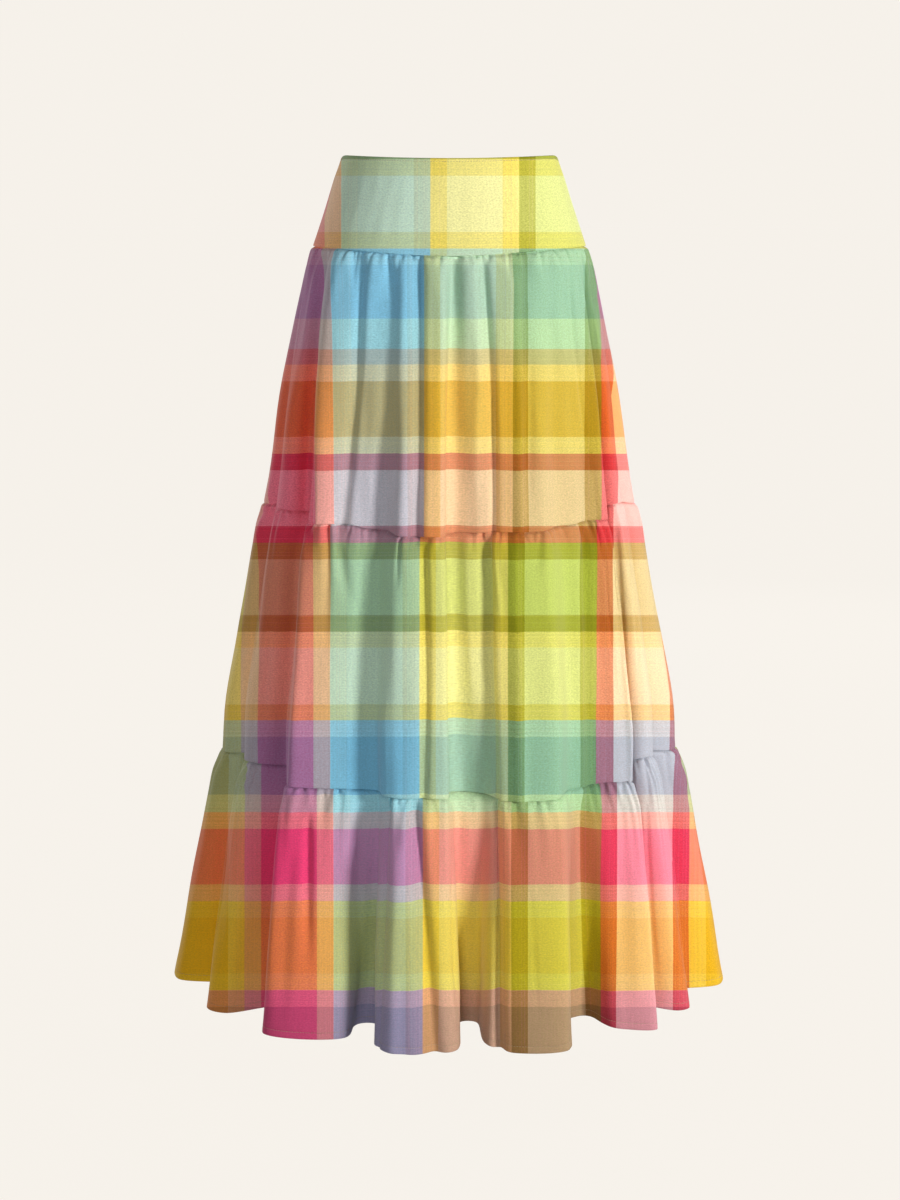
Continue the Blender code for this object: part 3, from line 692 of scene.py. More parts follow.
@dataclass(frozen=True)
class PuckerRun:
    """The gathers along one seam, drawn as unevenly as thread pulls them up."""

    seed: int
    spacing: float
    deep: float
    half_wide: float
    length: float
    first_place: float = 0.5
    last_place: float = 0.4
    places_vary: tuple[float, float] = (0.55, 1.45)
    depths_vary: tuple[float, float] = (0.25, 1.25)
    widths_vary: tuple[float, float] = (0.65, 1.45)
    lengths_vary: float = 0.55
    leans_vary: float = 0.20
    reach: float = 6.0
    widening: float = 1.1
    fall: float = 1.5
    roundness: float = 1.4

    def draw(self, around: float) -> list[Pucker]:
        """Draw the puckers of a seam that measures this much round.

        Args:
            around: How much the seam measures round.

        Returns:
            The puckers, in order round the seam.
        """
        chance = random.Random(self.seed)
        puckers = []
        place = self.spacing * self.first_place
        while place < around - self.spacing * self.last_place:
            deep = self.deep * chance.uniform(*self.depths_vary)
            half_wide = self.half_wide * chance.uniform(*self.widths_vary)
            length = self.length * math.exp(chance.gauss(0.0, self.lengths_vary))
            puckers.append(Pucker(place, deep, half_wide, length, chance.gauss(0.0, self.leans_vary)))
            place += self.spacing * chance.uniform(*self.places_vary)
        return puckers

    def troughs(self, places: np.ndarray, below: np.ndarray, around: float) -> np.ndarray:
        """Measure how deep the puckers are on a grid.

        Args:
            places: Each column's place round the seam.
            below: How far each row lies under the seam.
            around: How much the seam measures round.

        Returns:
            The depth at each row and column.
        """
        depths = np.zeros((len(below), len(places)))
        for pucker in self.draw(around):
            aside = (places - pucker.place + around / 2.0) % around - around / 2.0
            near = np.abs(aside) < pucker.half_wide * self.reach + abs(pucker.lean) * pucker.length
            share = np.clip(below / pucker.length, 0.0, 1.0)[:, None]
            wide = pucker.half_wide * (1.0 + self.widening * share)
            off = (aside[near][None, :] - pucker.lean * pucker.length * share) / wide
            profile = np.exp(-(np.abs(off) ** self.roundness))
            depths[:, near] += pucker.deep * (1.0 - share) ** self.fall * profile
        return depths


@dataclass(frozen=True)
class Row:
    """One ring of points of a tier: its level, and how far it lies inside the cloth's outer skin."""

    level: float
    inside: float


@dataclass
class Surface:
    """A tier's points in rows and columns, with what its panels and stitches need from them."""

    points: np.ndarray
    normals: np.ndarray
    base: np.ndarray
    levels: np.ndarray
    yarn_across: np.ndarray


# Rows near an edge or a seam: how far from its line each lies, in metres, and how far inside the skin.
WAIST_EDGE = 0.0045
WAIST_GROOVE = ((-0.0012, 0.0), (-0.0005, 0.00008), (0.0, 0.00022), (0.0005, 0.00008), (0.0012, 0.0))
TOP_FALLS = (-0.0040, -0.0010, 0.0004, 0.0012, 0.0022, 0.0034, 0.0048, 0.0066, 0.0090)
TOP_TUCKS = ((-0.008, -0.001, 0.0004, 0.0016, 0.0032), (0.0014, 0.0024, 0.0032, 0.0016, 0.0))
BOTTOM_CLIMBS = (0.0120, 0.0060, 0.0030, 0.0015, 0.0007)
BOTTOM_DIPS = ((0.0006, 0.0015, 0.0030), (0.0005, 0.00025, 0.0001, 0.0))
HEM_GROOVE = (
    (-0.0060, 0.0),
    (-0.0012, 0.0),
    (-0.0005, 0.0001),
    (0.0, 0.00028),
    (0.0005, 0.0001),
    (0.0012, 0.0),
)
HEM_EDGES = (0.0030, 0.0045)
TURN = (0.0, 0.25, 0.5, 0.75, 1.0)

# How the gathers fade down a tier: shares of its height, and what is left of the waves and the puff there.
WAVE_FADE = ((0.0, 0.002, 0.02, 0.07, 0.17, 0.35, 0.56), (0.05, 0.3, 1.0, 0.9, 0.45, 0.12, 0.0))
PUFF_FADE = ((0.0, 0.004, 0.02, 0.07, 0.17, 0.35), (0.0, 0.5, 1.0, 0.8, 0.2, 0.0))
WAVE_BEAT = 0.2
WAVE_BEAT_RATE = 1.3
WAVE_WANDER = 0.9
WAVE_WANDER_TURNS = 11.0
WAVES_CLEAR_OF_ZIP = (0.6, 2.4)

# What the puckers keep of their depth on a fold's face, its two flanks and its valley, and over how many
# columns on each side that is evened out.
PUCKERS_KEPT = (1.0, 0.6, 0.4, 0.6)
KEPT_SPAN = 4

# How soon under a seam the puckers and the waves set in, and the slight ripples of the cloth: how many go
# round the skirt, and how fast they turn as they go down.
PUCKERS_SET_IN = (-0.0004, 0.0016)
WAVES_SET_IN = (-0.0005, 0.0006)
RIPPLES = ((17.0, 31.0), (29.0, -44.0), (41.0, 23.0))


@dataclass(frozen=True)
class ClothTier:
    """A yoke or a gathered tier, made as one surface all round and then cut into its panels.

    Upper is the tier that this one is sewn to, whose creases run on into it. Shift is how far the check lies
    to the side, and side_stretch how far it is stretched on the last fold before a side seam.
    """

    name: str
    top: float
    bottom: float
    counts: Counts
    cad_counts: Counts
    wave: float
    puff: float
    puckers: PuckerRun | None
    upper: str | None
    slot: str
    shift: float
    over_tapes: bool = False
    middle_rows: int = 24
    growth: float = 1.55
    side_stretch: float = 0.0
    cloth_thick: float = 0.0006
    allowance: float = 0.008
    seam_gap: float = 0.00015
    ripple: float = 0.00035
    ripple_fade: float = 0.03
    carry: float = 0.010
    walk_top: float = 0.004
    walk_bottom: float = 0.03
    zip_wide: float = 0.0130
    zip_fade: float = 1.7
    over_zip: float = 0.10
    zip_tuck: float = 0.3
    turn_radius: float = 0.0007
    hem_deep: float = 0.0090
    hem_stitch: float = 0.0080
    waist_deep: float = 0.0110
    waist_stitch: float = 0.0035

    def turned_edge(self, level: float, down: float, shares: tuple[float, ...]) -> list[Row]:
        """The rows round a turned edge.

        Args:
            level: The level of the edge.
            down: 1 if the cloth hangs below the edge, and -1 if it lies above it.
            shares: Where the rows lie, as shares of the half turn from the outside in.

        Returns:
            A row for each share.
        """
        rows = []
        for share in shares:
            angle = math.pi * share
            inside = self.turn_radius * (1.0 - math.cos(angle))
            rows.append(Row(level + down * (self.turn_radius * (1.0 - math.sin(angle))), inside))
        return rows

    def top_rows(self) -> list[Row]:
        """The rows at the top: a turned edge at the waist, and elsewhere an allowance behind the seam.

        Returns:
            The rows, from the inner edge to the outer skin.
        """
        if self.upper is None:
            inner = 2.0 * self.turn_radius
            rows = [Row(self.top + self.waist_deep, inner), Row(self.top + WAIST_EDGE, inner)]
            rows.extend(self.turned_edge(self.top, 1.0, TURN[::-1]))
            stitch = self.top + self.waist_stitch
            rows.extend(Row(stitch + aside, inside) for aside, inside in WAIST_GROOVE)
            return rows
        falls = (-self.allowance, *TOP_FALLS)
        return [Row(self.top + fall, float(np.interp(fall, *TOP_TUCKS))) for fall in falls]

    def bottom_rows(self) -> list[Row]:
        """The rows at the bottom: a turned hem, and elsewhere the edge that dips into the seam.

        Returns:
            The rows, from the outer skin to the edge.
        """
        if self.bottom < FORM.hem:
            places, depths = (self.seam_gap, *BOTTOM_DIPS[0]), BOTTOM_DIPS[1]
            climbs = (*BOTTOM_CLIMBS, self.seam_gap)
            return [Row(self.bottom - climb, float(np.interp(climb, places, depths))) for climb in climbs]
        stitch = self.bottom - self.hem_stitch
        outer, inner = (self.bottom - edge for edge in HEM_EDGES)
        tucked = 2.0 * self.turn_radius
        return [
            *(Row(stitch + aside, inside) for aside, inside in HEM_GROOVE),
            Row(outer, 0.0),
            *self.turned_edge(self.bottom, -1.0, TURN),
            Row(inner, tucked),
            Row(self.bottom - self.hem_deep, tucked),
        ]

    def rows(self) -> list[Row]:
        """All the rows, from the top down, close together where the gathers are.

        Returns:
            The rows, in order.
        """
        top = self.top_rows()
        bottom = self.bottom_rows()
        first = top[-1].level
        last = bottom[0].level
        shares = [(step / self.middle_rows) ** self.growth for step in range(1, self.middle_rows)]
        return [*top, *(Row(first + (last - first) * share, 0.0) for share in shares), *bottom]

    def waves(self, below: np.ndarray) -> np.ndarray:
        """The soft waves of the gathers, which follow the columns of the solid, as heights outwards.

        Args:
            below: How far each row lies under the seam.

        Returns:
            The height at each row and column.
        """
        stretch, share = self.counts.spread()
        cad = self.cad_counts
        starts = np.concatenate([[0], np.cumsum(cad.each)])[:-1]
        numbers = starts[stretch] + share * cad.each[stretch] - cad.face / 2.0
        numbers %= cad.around
        turns = numbers / cad.around
        beat = (1.0 - WAVE_BEAT) + WAVE_BEAT * np.sin(WAVE_BEAT_RATE * numbers)
        wander = WAVE_WANDER * np.sin(2.0 * math.pi * WAVE_WANDER_TURNS * turns)
        heights = np.cos(2.0 * math.pi * round(cad.around / 2.0) * turns + wander) * beat
        if self.over_tapes:
            heights *= smooth(np.abs(numbers - CENTRE_BACK * cad.fold), *WAVES_CLEAR_OF_ZIP)
        shares = below / (self.bottom - self.top)
        fades = np.interp(shares, *WAVE_FADE)
        puffs = np.interp(shares, *PUFF_FADE)
        return self.wave * fades[:, None] * heights[None, :] + self.puff * puffs[:, None]

    def creases(self, points: np.ndarray, normals: np.ndarray, name: str) -> np.ndarray:
        """Measure the creases that are listed.

        Args:
            points: The rows and columns of the surface.
            normals: Its level normals.
            name: Whose creases they are, this tier's or the upper one's.

        Returns:
            How far inwards they press the cloth at each point.
        """
        depths = np.zeros(points.shape[:2])
        for side, facing in ((Side.FRONT, -normals[..., 1]), (Side.BACK, normals[..., 1])):
            across, down = seen_place(points, side)
            for crease in CREASES[side].get(name, ()):
                depths += crease.troughs(across, down) * smooth(facing, *CREASE_FACING)
        return depths

    def clear_of_zip(self, places: np.ndarray) -> np.ndarray:
        """Tell for each column how clear it is of the zip's tapes: 0 over them and 1 away from them.

        Args:
            places: Each column's place round the tier.

        Returns:
            A share for each column.
        """
        if not self.over_tapes:
            return np.ones(len(places))
        aside = np.abs(places - places[CENTRE_BACK * self.counts.fold])
        return smooth(aside, self.zip_wide, self.zip_wide * self.zip_fade)

    def puckers_kept(self, clear: np.ndarray) -> np.ndarray:
        """How much of their depth the puckers keep at each column, in the valleys or over the zip's tapes.

        Args:
            clear: How clear each column is of the zip's tapes.

        Returns:
            A share for each column.
        """
        if self.over_tapes:
            return self.over_zip + (1.0 - self.over_zip) * clear
        kept = np.array(PUCKERS_KEPT)[self.counts.spread()[0] % len(PUCKERS_KEPT)]
        kept = np.concatenate([kept[-KEPT_SPAN:], kept, kept[:KEPT_SPAN]])
        width = 2 * KEPT_SPAN + 1
        return np.convolve(kept, np.ones(width) / width, "valid")

    def surface(self) -> Surface:
        """Work out the tier's surface all round, with its gathers, creases and edges.

        Returns:
            The surface, which isn't cut yet.
        """
        rows = self.rows()
        levels = np.array([row.level for row in rows])
        base = np.array([FORM.ring(row.level, self.counts) for row in rows])
        normals = np.array([outward(line) for line in base])
        below = levels - self.top
        under = np.maximum(below, 0.0)
        places, around = self.walk(FORM.ring(self.top + self.walk_top, self.counts))
        clear = self.clear_of_zip(places)
        heights = np.zeros(base.shape[:2])
        if self.upper is not None:
            settle = smooth(below, *PUCKERS_SET_IN)[:, None]
            heights += self.waves(under) * smooth(below, *WAVES_SET_IN)[:, None]
            heights -= self.puckers.troughs(places, under, around) * settle * self.puckers_kept(clear)
            heights -= self.creases(base, normals, self.name) * settle
            heights -= self.creases(base, normals, self.upper) * np.exp(-under / self.carry)[:, None]
        turns = places / around * 2.0 * math.pi
        fade = smooth(below, 0.0, self.ripple_fade) * smooth(self.bottom - levels, 0.0, self.ripple_fade)
        for wave, (count, climb) in enumerate(RIPPLES):
            phase = turns[None, :] * count + levels[:, None] * climb + wave
            heights += self.ripple * fade[:, None] * np.sin(phase)
        inside = np.array([row.inside for row in rows])[:, None]
        heights -= inside * (self.zip_tuck + (1.0 - self.zip_tuck) * clear)
        points = base + normals * heights[..., None]
        if self.upper is None:
            points[..., 2] -= FORM.corner(levels, base)
        wide_ring = FORM.ring(self.bottom - self.walk_bottom, self.counts)
        return Surface(points, normals, base, levels, self.walk(wide_ring)[0])

    @staticmethod
    def walk(ring: np.ndarray) -> tuple[np.ndarray, float]:
        """Each point's distance along a closed ring, and the length of the ring."""
        steps = np.linalg.norm(np.roll(ring, -1, axis=0) - ring, axis=1)
        return np.concatenate([[0.0], np.cumsum(steps)[:-1]]), float(steps.sum())


@dataclass(frozen=True)
class Panel:
    """One cut piece of a tier, between two of its seams."""

    name: str
    node: str
    first: int
    last: int
    side: Side
    flat: tuple[float, float]
    first_zip: bool = False
    last_zip: bool = False


@dataclass(frozen=True)
class SettPlacing:
    """How the check lies: straight as it is seen, and along the cloth where the cloth turns away."""

    stretch: float = 0.85
    hidden: float = 0.004

    def charts(self, tier: ClothTier, surface: Surface, columns: np.ndarray, side: Side) -> np.ndarray:
        """Args:
            tier: The panel's tier.
            surface: The tier's surface.
            columns: The panel's columns, counted on past the end of the ring.
            side: The side that the panel is seen from.

        Returns:
            How far across and how far down the check each point lies, in metres.
        """
        counts = tier.counts
        seam = SIDE_RIGHT * counts.fold
        start, end = (0, seam) if side is Side.FRONT else (seam, counts.around)
        base = surface.base[:, np.arange(start, end + 1) % counts.around]
        across, down = seen_place(base, side)
        along = walked(base)
        across = self.turned(tier, across, along)
        across = -self.turned(tier, -across[:, ::-1], along[:, -1:] - along[:, ::-1])[:, ::-1]
        return np.stack([across, down], axis=2)[:, columns - start]

    def turned(self, tier: ClothTier, seen: np.ndarray, along: np.ndarray) -> np.ndarray:
        """Lay the check along the cloth on the far half of a panel, where it turns away from sight.

        Args:
            tier: The panel's tier.
            seen: How far out each point appears.
            along: How far along the cloth it is.

        Returns:
            How far out each point lies on the check.
        """
        counts = tier.counts
        across = seen.copy()
        last = across.shape[1] - 1
        ridges = range(last // 2 // counts.fold + 1, last // counts.fold)
        edges = [ridge * counts.fold + counts.face // 2 for ridge in ridges]
        for edge in edges:
            floor = edge + counts.down
            tucked = smooth(across[:, edge] - across[:, floor], 0.0, self.hidden)[:, None]
            flank = slice(edge + 1, floor + 1)
            laid = self.laid(across, along, edge, flank, self.stretch)
            across[:, flank] += (laid - across[:, flank]) * tucked
        corner = last - counts.face // 2
        if tier.side_stretch > 0.0:
            before = slice(edges[-1] + 1, corner + 1)
            across[:, before] = self.laid(across, along, edges[-1], before, tier.side_stretch)
        beyond = slice(corner + 1, None)
        across[:, beyond] = self.laid(across, along, corner, beyond, self.stretch)
        return across

    @staticmethod
    def laid(across: np.ndarray, along: np.ndarray, start: int, columns: slice, stretch: float) -> np.ndarray:
        """Where columns lie on the check when it follows the cloth from the start column on."""
        return across[:, [start]] + (along[:, columns] - along[:, [start]]) * stretch


@dataclass(frozen=True)
class PanelCutter:
    """Cuts panels out of a tier's surface and gives each its thickness."""

    gap: float = 0.00001
    zip_gap: float = 0.0016
    zip_open: float = 0.022
    zip_close: float = 0.034
    roll: float = 0.0009
    roll_reach: float = 0.0022
    roll_sharpness: float = 1.6
    squeeze: float = 0.006
    edge_columns: int = 24
    aim_column: int = 6
    crease_angle: float = 70.0

    def edge(
        self,
        points: np.ndarray,
        normals: np.ndarray,
        levels: np.ndarray,
        at_end: bool,
        zipped: bool,
    ) -> None:
        """Roll one upright edge of a panel inwards and draw it back from the seam's line.

        Args:
            points: The panel's points, which are changed.
            normals: Its level normals.
            levels: The level of each row.
            at_end: Whether it is the last edge and not the first.
            zipped: Whether the zip opens beside it.
        """
        order = slice(None, None, -1) if at_end else slice(None)
        line = points[:, order][:, : self.edge_columns]
        distance = walked(line)
        inwards = line[:, self.aim_column] - line[:, 0]
        inwards /= np.linalg.norm(inwards, axis=1)[:, None]
        back = np.full(len(levels), self.gap)
        if zipped:
            back += (self.zip_gap - self.gap) * (1.0 - smooth(levels, self.zip_open, self.zip_close))
        shift = back[:, None] * np.clip(1.0 - distance / self.squeeze, 0.0, 1.0)
        sink = self.roll * np.exp(-((distance / self.roll_reach * self.roll_sharpness) ** 2))
        line += inwards[:, None, :] * shift[..., None]
        line -= normals[:, order][:, : self.edge_columns] * sink[..., None]

    def cut(self, panel: Panel, tier: ClothTier, surface: Surface, placing: SettPlacing) -> bpy.types.Object:
        """Cut one panel, with its check and yarn charts, as a thin shell.

        Args:
            panel: The panel.
            tier: Its tier.
            surface: The tier's surface.
            placing: How the check lies on it.

        Returns:
            The piece.
        """
        around = surface.points.shape[1]
        columns = np.arange(panel.first, panel.last + 1)
        wrapped = columns % around
        points = surface.points[:, wrapped].copy()
        normals = surface.normals[:, wrapped]
        self.edge(points, normals, surface.levels, False, panel.first_zip)
        self.edge(points, normals, surface.levels, True, panel.last_zip)
        check = placing.charts(tier, surface, columns, panel.side)
        yarn_across = surface.yarn_across[wrapped] + (columns >= around) * surface.yarn_across[-1]
        yarn = np.stack(np.broadcast_arrays(yarn_across[None, :], surface.levels[:, None]), axis=2)
        rows, width = points.shape[:2]
        corner = (np.arange(rows - 1)[:, None] * width + np.arange(width - 1)[None, :]).ravel()
        faces = np.stack([corner, corner + width, corner + width + 1, corner + 1], axis=1)
        mesh = bpy.data.meshes.new(panel.name)
        mesh.from_pydata(points.reshape(-1, 3).tolist(), [], faces.tolist())
        for name, chart in (("check", check), ("yarn", yarn)):
            layer = mesh.uv_layers.new(name=name)
            layer.data.foreach_set("uv", chart.reshape(-1, 2)[faces.ravel()].astype(np.float32).ravel())
        piece = Bench.add(panel.name, mesh)
        wall = piece.modifiers.new("cloth", "SOLIDIFY")
        wall.thickness = tier.cloth_thick
        wall.offset = -1.0
        Bench.finish(piece, self.crease_angle)
        return piece


class Bench:
    """What a maker does at the bench with one piece in hand."""

    @staticmethod
    def add(name: str, data: bpy.types.ID) -> bpy.types.Object:
        """Put a new object in the scene.

        Args:
            name: The object's name.
            data: Its mesh, lamp or camera.

        Returns:
            The object.
        """
        thing = bpy.data.objects.new(name, data)
        bpy.context.scene.collection.objects.link(thing)
        return thing

    @staticmethod
    def shape(size: tuple[float, float, float]) -> bpy.types.Object:
        """Stretch the primitive that was just made.

        Args:
            size: The factors along X, Y and Z.

        Returns:
            The shaped object.
        """
        bpy.ops.object.mode_set(mode="EDIT")
        bpy.ops.mesh.select_all(action="SELECT")
        bpy.ops.transform.resize(value=size)
        bpy.ops.object.mode_set(mode="OBJECT")
        return bpy.context.object

    @staticmethod
    def pick(piece: bpy.types.Object) -> None:
        """Take one piece in hand and put down every other.

        Args:
            piece: The piece to take.
        """
        bpy.ops.object.select_all(action="DESELECT")
        piece.select_set(True)
        bpy.context.view_layer.objects.active = piece

    @staticmethod
    def finish(piece: bpy.types.Object, crease_angle: float) -> None:
        """Apply a piece's modifiers and shade it smooth, with edges sharper than the angle left crisp.

        Args:
            piece: The piece.
            crease_angle: The angle from which an edge stays crisp, in degrees.
        """
        Bench.pick(piece)
        for modifier in list(piece.modifiers):
            bpy.ops.object.modifier_apply(modifier=modifier.name)
        bpy.ops.object.shade_smooth_by_angle(angle=math.radians(crease_angle))

    @staticmethod
    def copies(name: str, model: bpy.types.Object, places: list[Matrix]) -> bpy.types.Object:
        """Copy a small model to many places, as one piece.

        Args:
            name: The new piece's name.
            model: What is copied. It is removed afterwards.
            places: Where each copy goes.

        Returns:
            The piece that holds all the copies.
        """
        source = model.data
        points = np.array([vertex.co for vertex in source.vertices])
        faces = [tuple(face.vertices) for face in source.polygons]
        spread = [points @ np.array(place.to_3x3()).T + np.array(place.translation) for place in places]
        joined = [tuple(i + k * len(points) for i in face) for k in range(len(places)) for face in faces]
        mesh = bpy.data.meshes.new(name)
        mesh.from_pydata(np.concatenate(spread).tolist(), [], joined)
        mesh.shade_smooth()
        bpy.data.objects.remove(model)
        return Bench.add(name, mesh)


NOISE_ROUGHNESS = 0.55
# The sockets of a colour mix: the factor and the two colours that go in, and the colour that comes out.
MIX_INPUTS = (0, 6, 7)
MIX_OUTPUT = 2


class Graph:
    """Lays out and joins the nodes of one shader tree."""

    def __init__(self, tree: bpy.types.NodeTree) -> None:
        """Start with an empty tree."""
        self.tree = tree
        tree.nodes.clear()

    def put(self, kind: str, inputs: dict | None = None, **settings: object) -> bpy.types.Node:
        """Add a node.

        Args:
            kind: The node's type, without the word ShaderNode.
            inputs: What goes into its sockets, by name or number: a value or another node's socket.
            **settings: The node's own settings.

        Returns:
            The new node.
        """
        node = self.tree.nodes.new(kind if kind.startswith("NodeGroup") else f"ShaderNode{kind}")
        for name, value in settings.items():
            setattr(node, name, value)
        for name, value in (inputs or {}).items():
            if isinstance(value, bpy.types.NodeSocket):
                self.tree.links.new(value, node.inputs[name])
            else:
                node.inputs[name].default_value = value
        return node

    def math(self, operation: str, *values: object, clamped: bool = False) -> bpy.types.NodeSocket:
        """Work out one sum from values and sockets."""
        node = self.put("Math", dict(enumerate(values)), operation=operation, use_clamp=clamped)
        return node.outputs[0]

    def mix(self, factor: object, first: object, second: object, blend: str = "MIX") -> bpy.types.NodeSocket:
        """Mix two colours.

        Args:
            factor: How much of the second colour there is.
            first: The first colour.
            second: The second colour.
            blend: How the two are blended.

        Returns:
            The mixed colour's socket.
        """
        node = self.put("Mix", data_type="RGBA", blend_type=blend)
        for number, value in zip(MIX_INPUTS, (factor, first, second)):
            if isinstance(value, bpy.types.NodeSocket):
                self.tree.links.new(value, node.inputs[number])
            else:
                node.inputs[number].default_value = value
        return node.outputs[MIX_OUTPUT]

    def noise(self, kind: str, place: object, scale: float, detail: float = 2.0) -> bpy.types.NodeSocket:
        """Read a noise of kind 1D, 2D or 3D, along one number or at a point.

        Args:
            kind: 1D, 2D or 3D.
            place: The socket of the number or the point.
            scale: How often the noise varies in a metre.
            detail: How many finer layers it has.

        Returns:
            The noise's socket.
        """
        name = "W" if kind == "1D" else "Vector"
        inputs = {name: place, "Scale": scale, "Detail": detail, "Roughness": NOISE_ROUGHNESS}
        return self.put("TexNoise", inputs, noise_dimensions=kind).outputs[0]

    def about_half(self, value: object, gain: object) -> bpy.types.NodeSocket:
        """Scale how far a value lies from a half."""
        return self.math("MULTIPLY", self.math("SUBTRACT", value, 0.5), gain)

    def toned(self, factor: object, colour: tuple[float, ...], dark: float) -> bpy.types.NodeSocket:
        """Mix a colour with a darker tone of itself."""
        return self.mix(factor, (*[part * dark for part in colour], 1.0), (*colour, 1.0))

    def gained(self, colour: object, gain: object) -> bpy.types.NodeSocket:
        """Multiply a colour by one value."""
        grey = self.put("CombineColor", {"Red": gain, "Green": gain, "Blue": gain}).outputs[0]
        return self.mix(1.0, colour, grey, "MULTIPLY")

    def bump(self, height: object, distance: float, strength: float, **more: object) -> bpy.types.NodeSocket:
        """Turn a height into a normal."""
        inputs = {"Height": height, "Strength": strength, "Distance": distance, **more}
        return self.put("Bump", inputs).outputs[0]

    def surface(self, inputs: dict) -> None:
        """End a material in a shader with these inputs."""
        self.put("OutputMaterial", {"Surface": self.put("BsdfPrincipled", inputs).outputs[0]})


def new_material(name: str) -> tuple[bpy.types.Material, Graph]:
    """Make an empty material and the graph that lays out its nodes.

    Args:
        name: The material's name.

    Returns:
        The material and its graph.
    """
    material = bpy.data.materials.new(name)
    material.use_nodes = True
    return material, Graph(material.node_tree)


def new_group(name: str, inputs: dict[str, str], outputs: dict[str, str]) -> bpy.types.NodeTree:
    """Make a shader node group with named sockets, each given with its kind.

    Args:
        name: The group's name.
        inputs: The kind of each socket that goes in, by its name.
        outputs: The kind of each socket that comes out.

    Returns:
        The empty group.
    """
    group = bpy.data.node_groups.new(name, "ShaderNodeTree")
    for direction, sockets in (("INPUT", inputs), ("OUTPUT", outputs)):
        for socket, kind in sockets.items():
            group.interface.new_socket(name=socket, in_out=direction, socket_type=f"NodeSocket{kind}")
    return group


class Yarn(Enum):
    """The dyed yarns, by what the eye sees: red, green and blue as shares of a screen's full light."""

    PALE_LEMON = (0.98, 0.93, 0.67)
    LEMON = (0.94, 0.89, 0.60)
    CITRON = (0.87, 0.89, 0.58)
    BUTTER = (0.94, 0.83, 0.40)
    PRIMROSE = (0.88, 0.83, 0.36)
    GOLD = (0.87, 0.76, 0.33)
    POWDER = (0.55, 0.75, 0.83)
    MIST = (0.57, 0.83, 0.91)
    SKY = (0.45, 0.67, 0.80)
    AZURE = (0.54, 0.82, 0.93)
    LAKE = (0.38, 0.62, 0.76)
    ICE = (0.64, 0.81, 0.80)
    TIDE = (0.50, 0.73, 0.80)
    TAUPE = (0.71, 0.60, 0.48)
    HONEY = (0.98, 0.74, 0.40)
    AMBER = (0.85, 0.52, 0.06)
    MARIGOLD = (0.88, 0.66, 0.08)
    STRAW = (0.95, 0.79, 0.33)
    SHELL = (0.97, 0.68, 0.65)
    PEACH = (1.00, 0.79, 0.74)
    CORAL = (0.79, 0.20, 0.21)
    LIME = (0.74, 0.76, 0.37)
    SPRING = (0.66, 0.76, 0.37)
    LEAF = (0.54, 0.49, 0.02)
    MOSS = (0.44, 0.50, 0.02)
    BLUSH = (0.92, 0.62, 0.57)
    PINK = (0.91, 0.25, 0.45)
    ROSE = (0.91, 0.25, 0.46)
    OCHRE = (0.89, 0.74, 0.20)
    MUSTARD = (0.87, 0.67, 0.10)
    MAUVE = (0.81, 0.41, 0.51)
    PLUM = (0.60, 0.28, 0.41)


EDGE = 0.0192
CENTRE = 0.0653


@dataclass(frozen=True)
class Stripe:
    """One stripe of the check."""

    yarn: Yarn
    wide: float


def band(*yarns: Yarn, first: float = EDGE, middle: float = CENTRE, last: float = EDGE) -> tuple[Stripe, ...]:
    """A broad stripe between two edges, or a single edge if only one yarn is given."""
    return tuple(Stripe(yarn, wide) for yarn, wide in zip(yarns, (first, middle, last)))


WARP = (
    *band(Yarn.BLUSH, Yarn.PINK, Yarn.BLUSH),
    *band(Yarn.MIST, Yarn.AZURE, Yarn.TIDE),
    *band(Yarn.PRIMROSE, Yarn.CITRON, Yarn.PRIMROSE),
    *band(Yarn.MOSS, Yarn.SPRING, Yarn.MOSS),
    *band(Yarn.CORAL, Yarn.PEACH, Yarn.CORAL),
    *band(Yarn.STRAW, Yarn.MARIGOLD, Yarn.STRAW),
)
WEFT = (
    *band(Yarn.LEAF),
    *band(Yarn.BUTTER, Yarn.PALE_LEMON, Yarn.BUTTER),
    *band(Yarn.POWDER, Yarn.SKY, Yarn.ICE, middle=0.0627, last=0.0353),
    *band(Yarn.TAUPE, first=0.0185),
    *band(Yarn.HONEY, Yarn.AMBER, Yarn.HONEY),
    *band(Yarn.CORAL, Yarn.SHELL, Yarn.CORAL),
    *band(Yarn.LEAF, Yarn.LIME, Yarn.LEAF),
    *band(Yarn.BUTTER, Yarn.LEMON, Yarn.GOLD),
    *band(Yarn.POWDER, Yarn.LAKE, Yarn.ICE, middle=0.0673, last=0.0198),
    *band(Yarn.BLUSH, Yarn.ROSE, Yarn.BLUSH, first=0.0198),
    *band(Yarn.OCHRE, Yarn.MUSTARD, Yarn.OCHRE),
    *band(Yarn.MAUVE, Yarn.PLUM, Yarn.MAUVE),
)


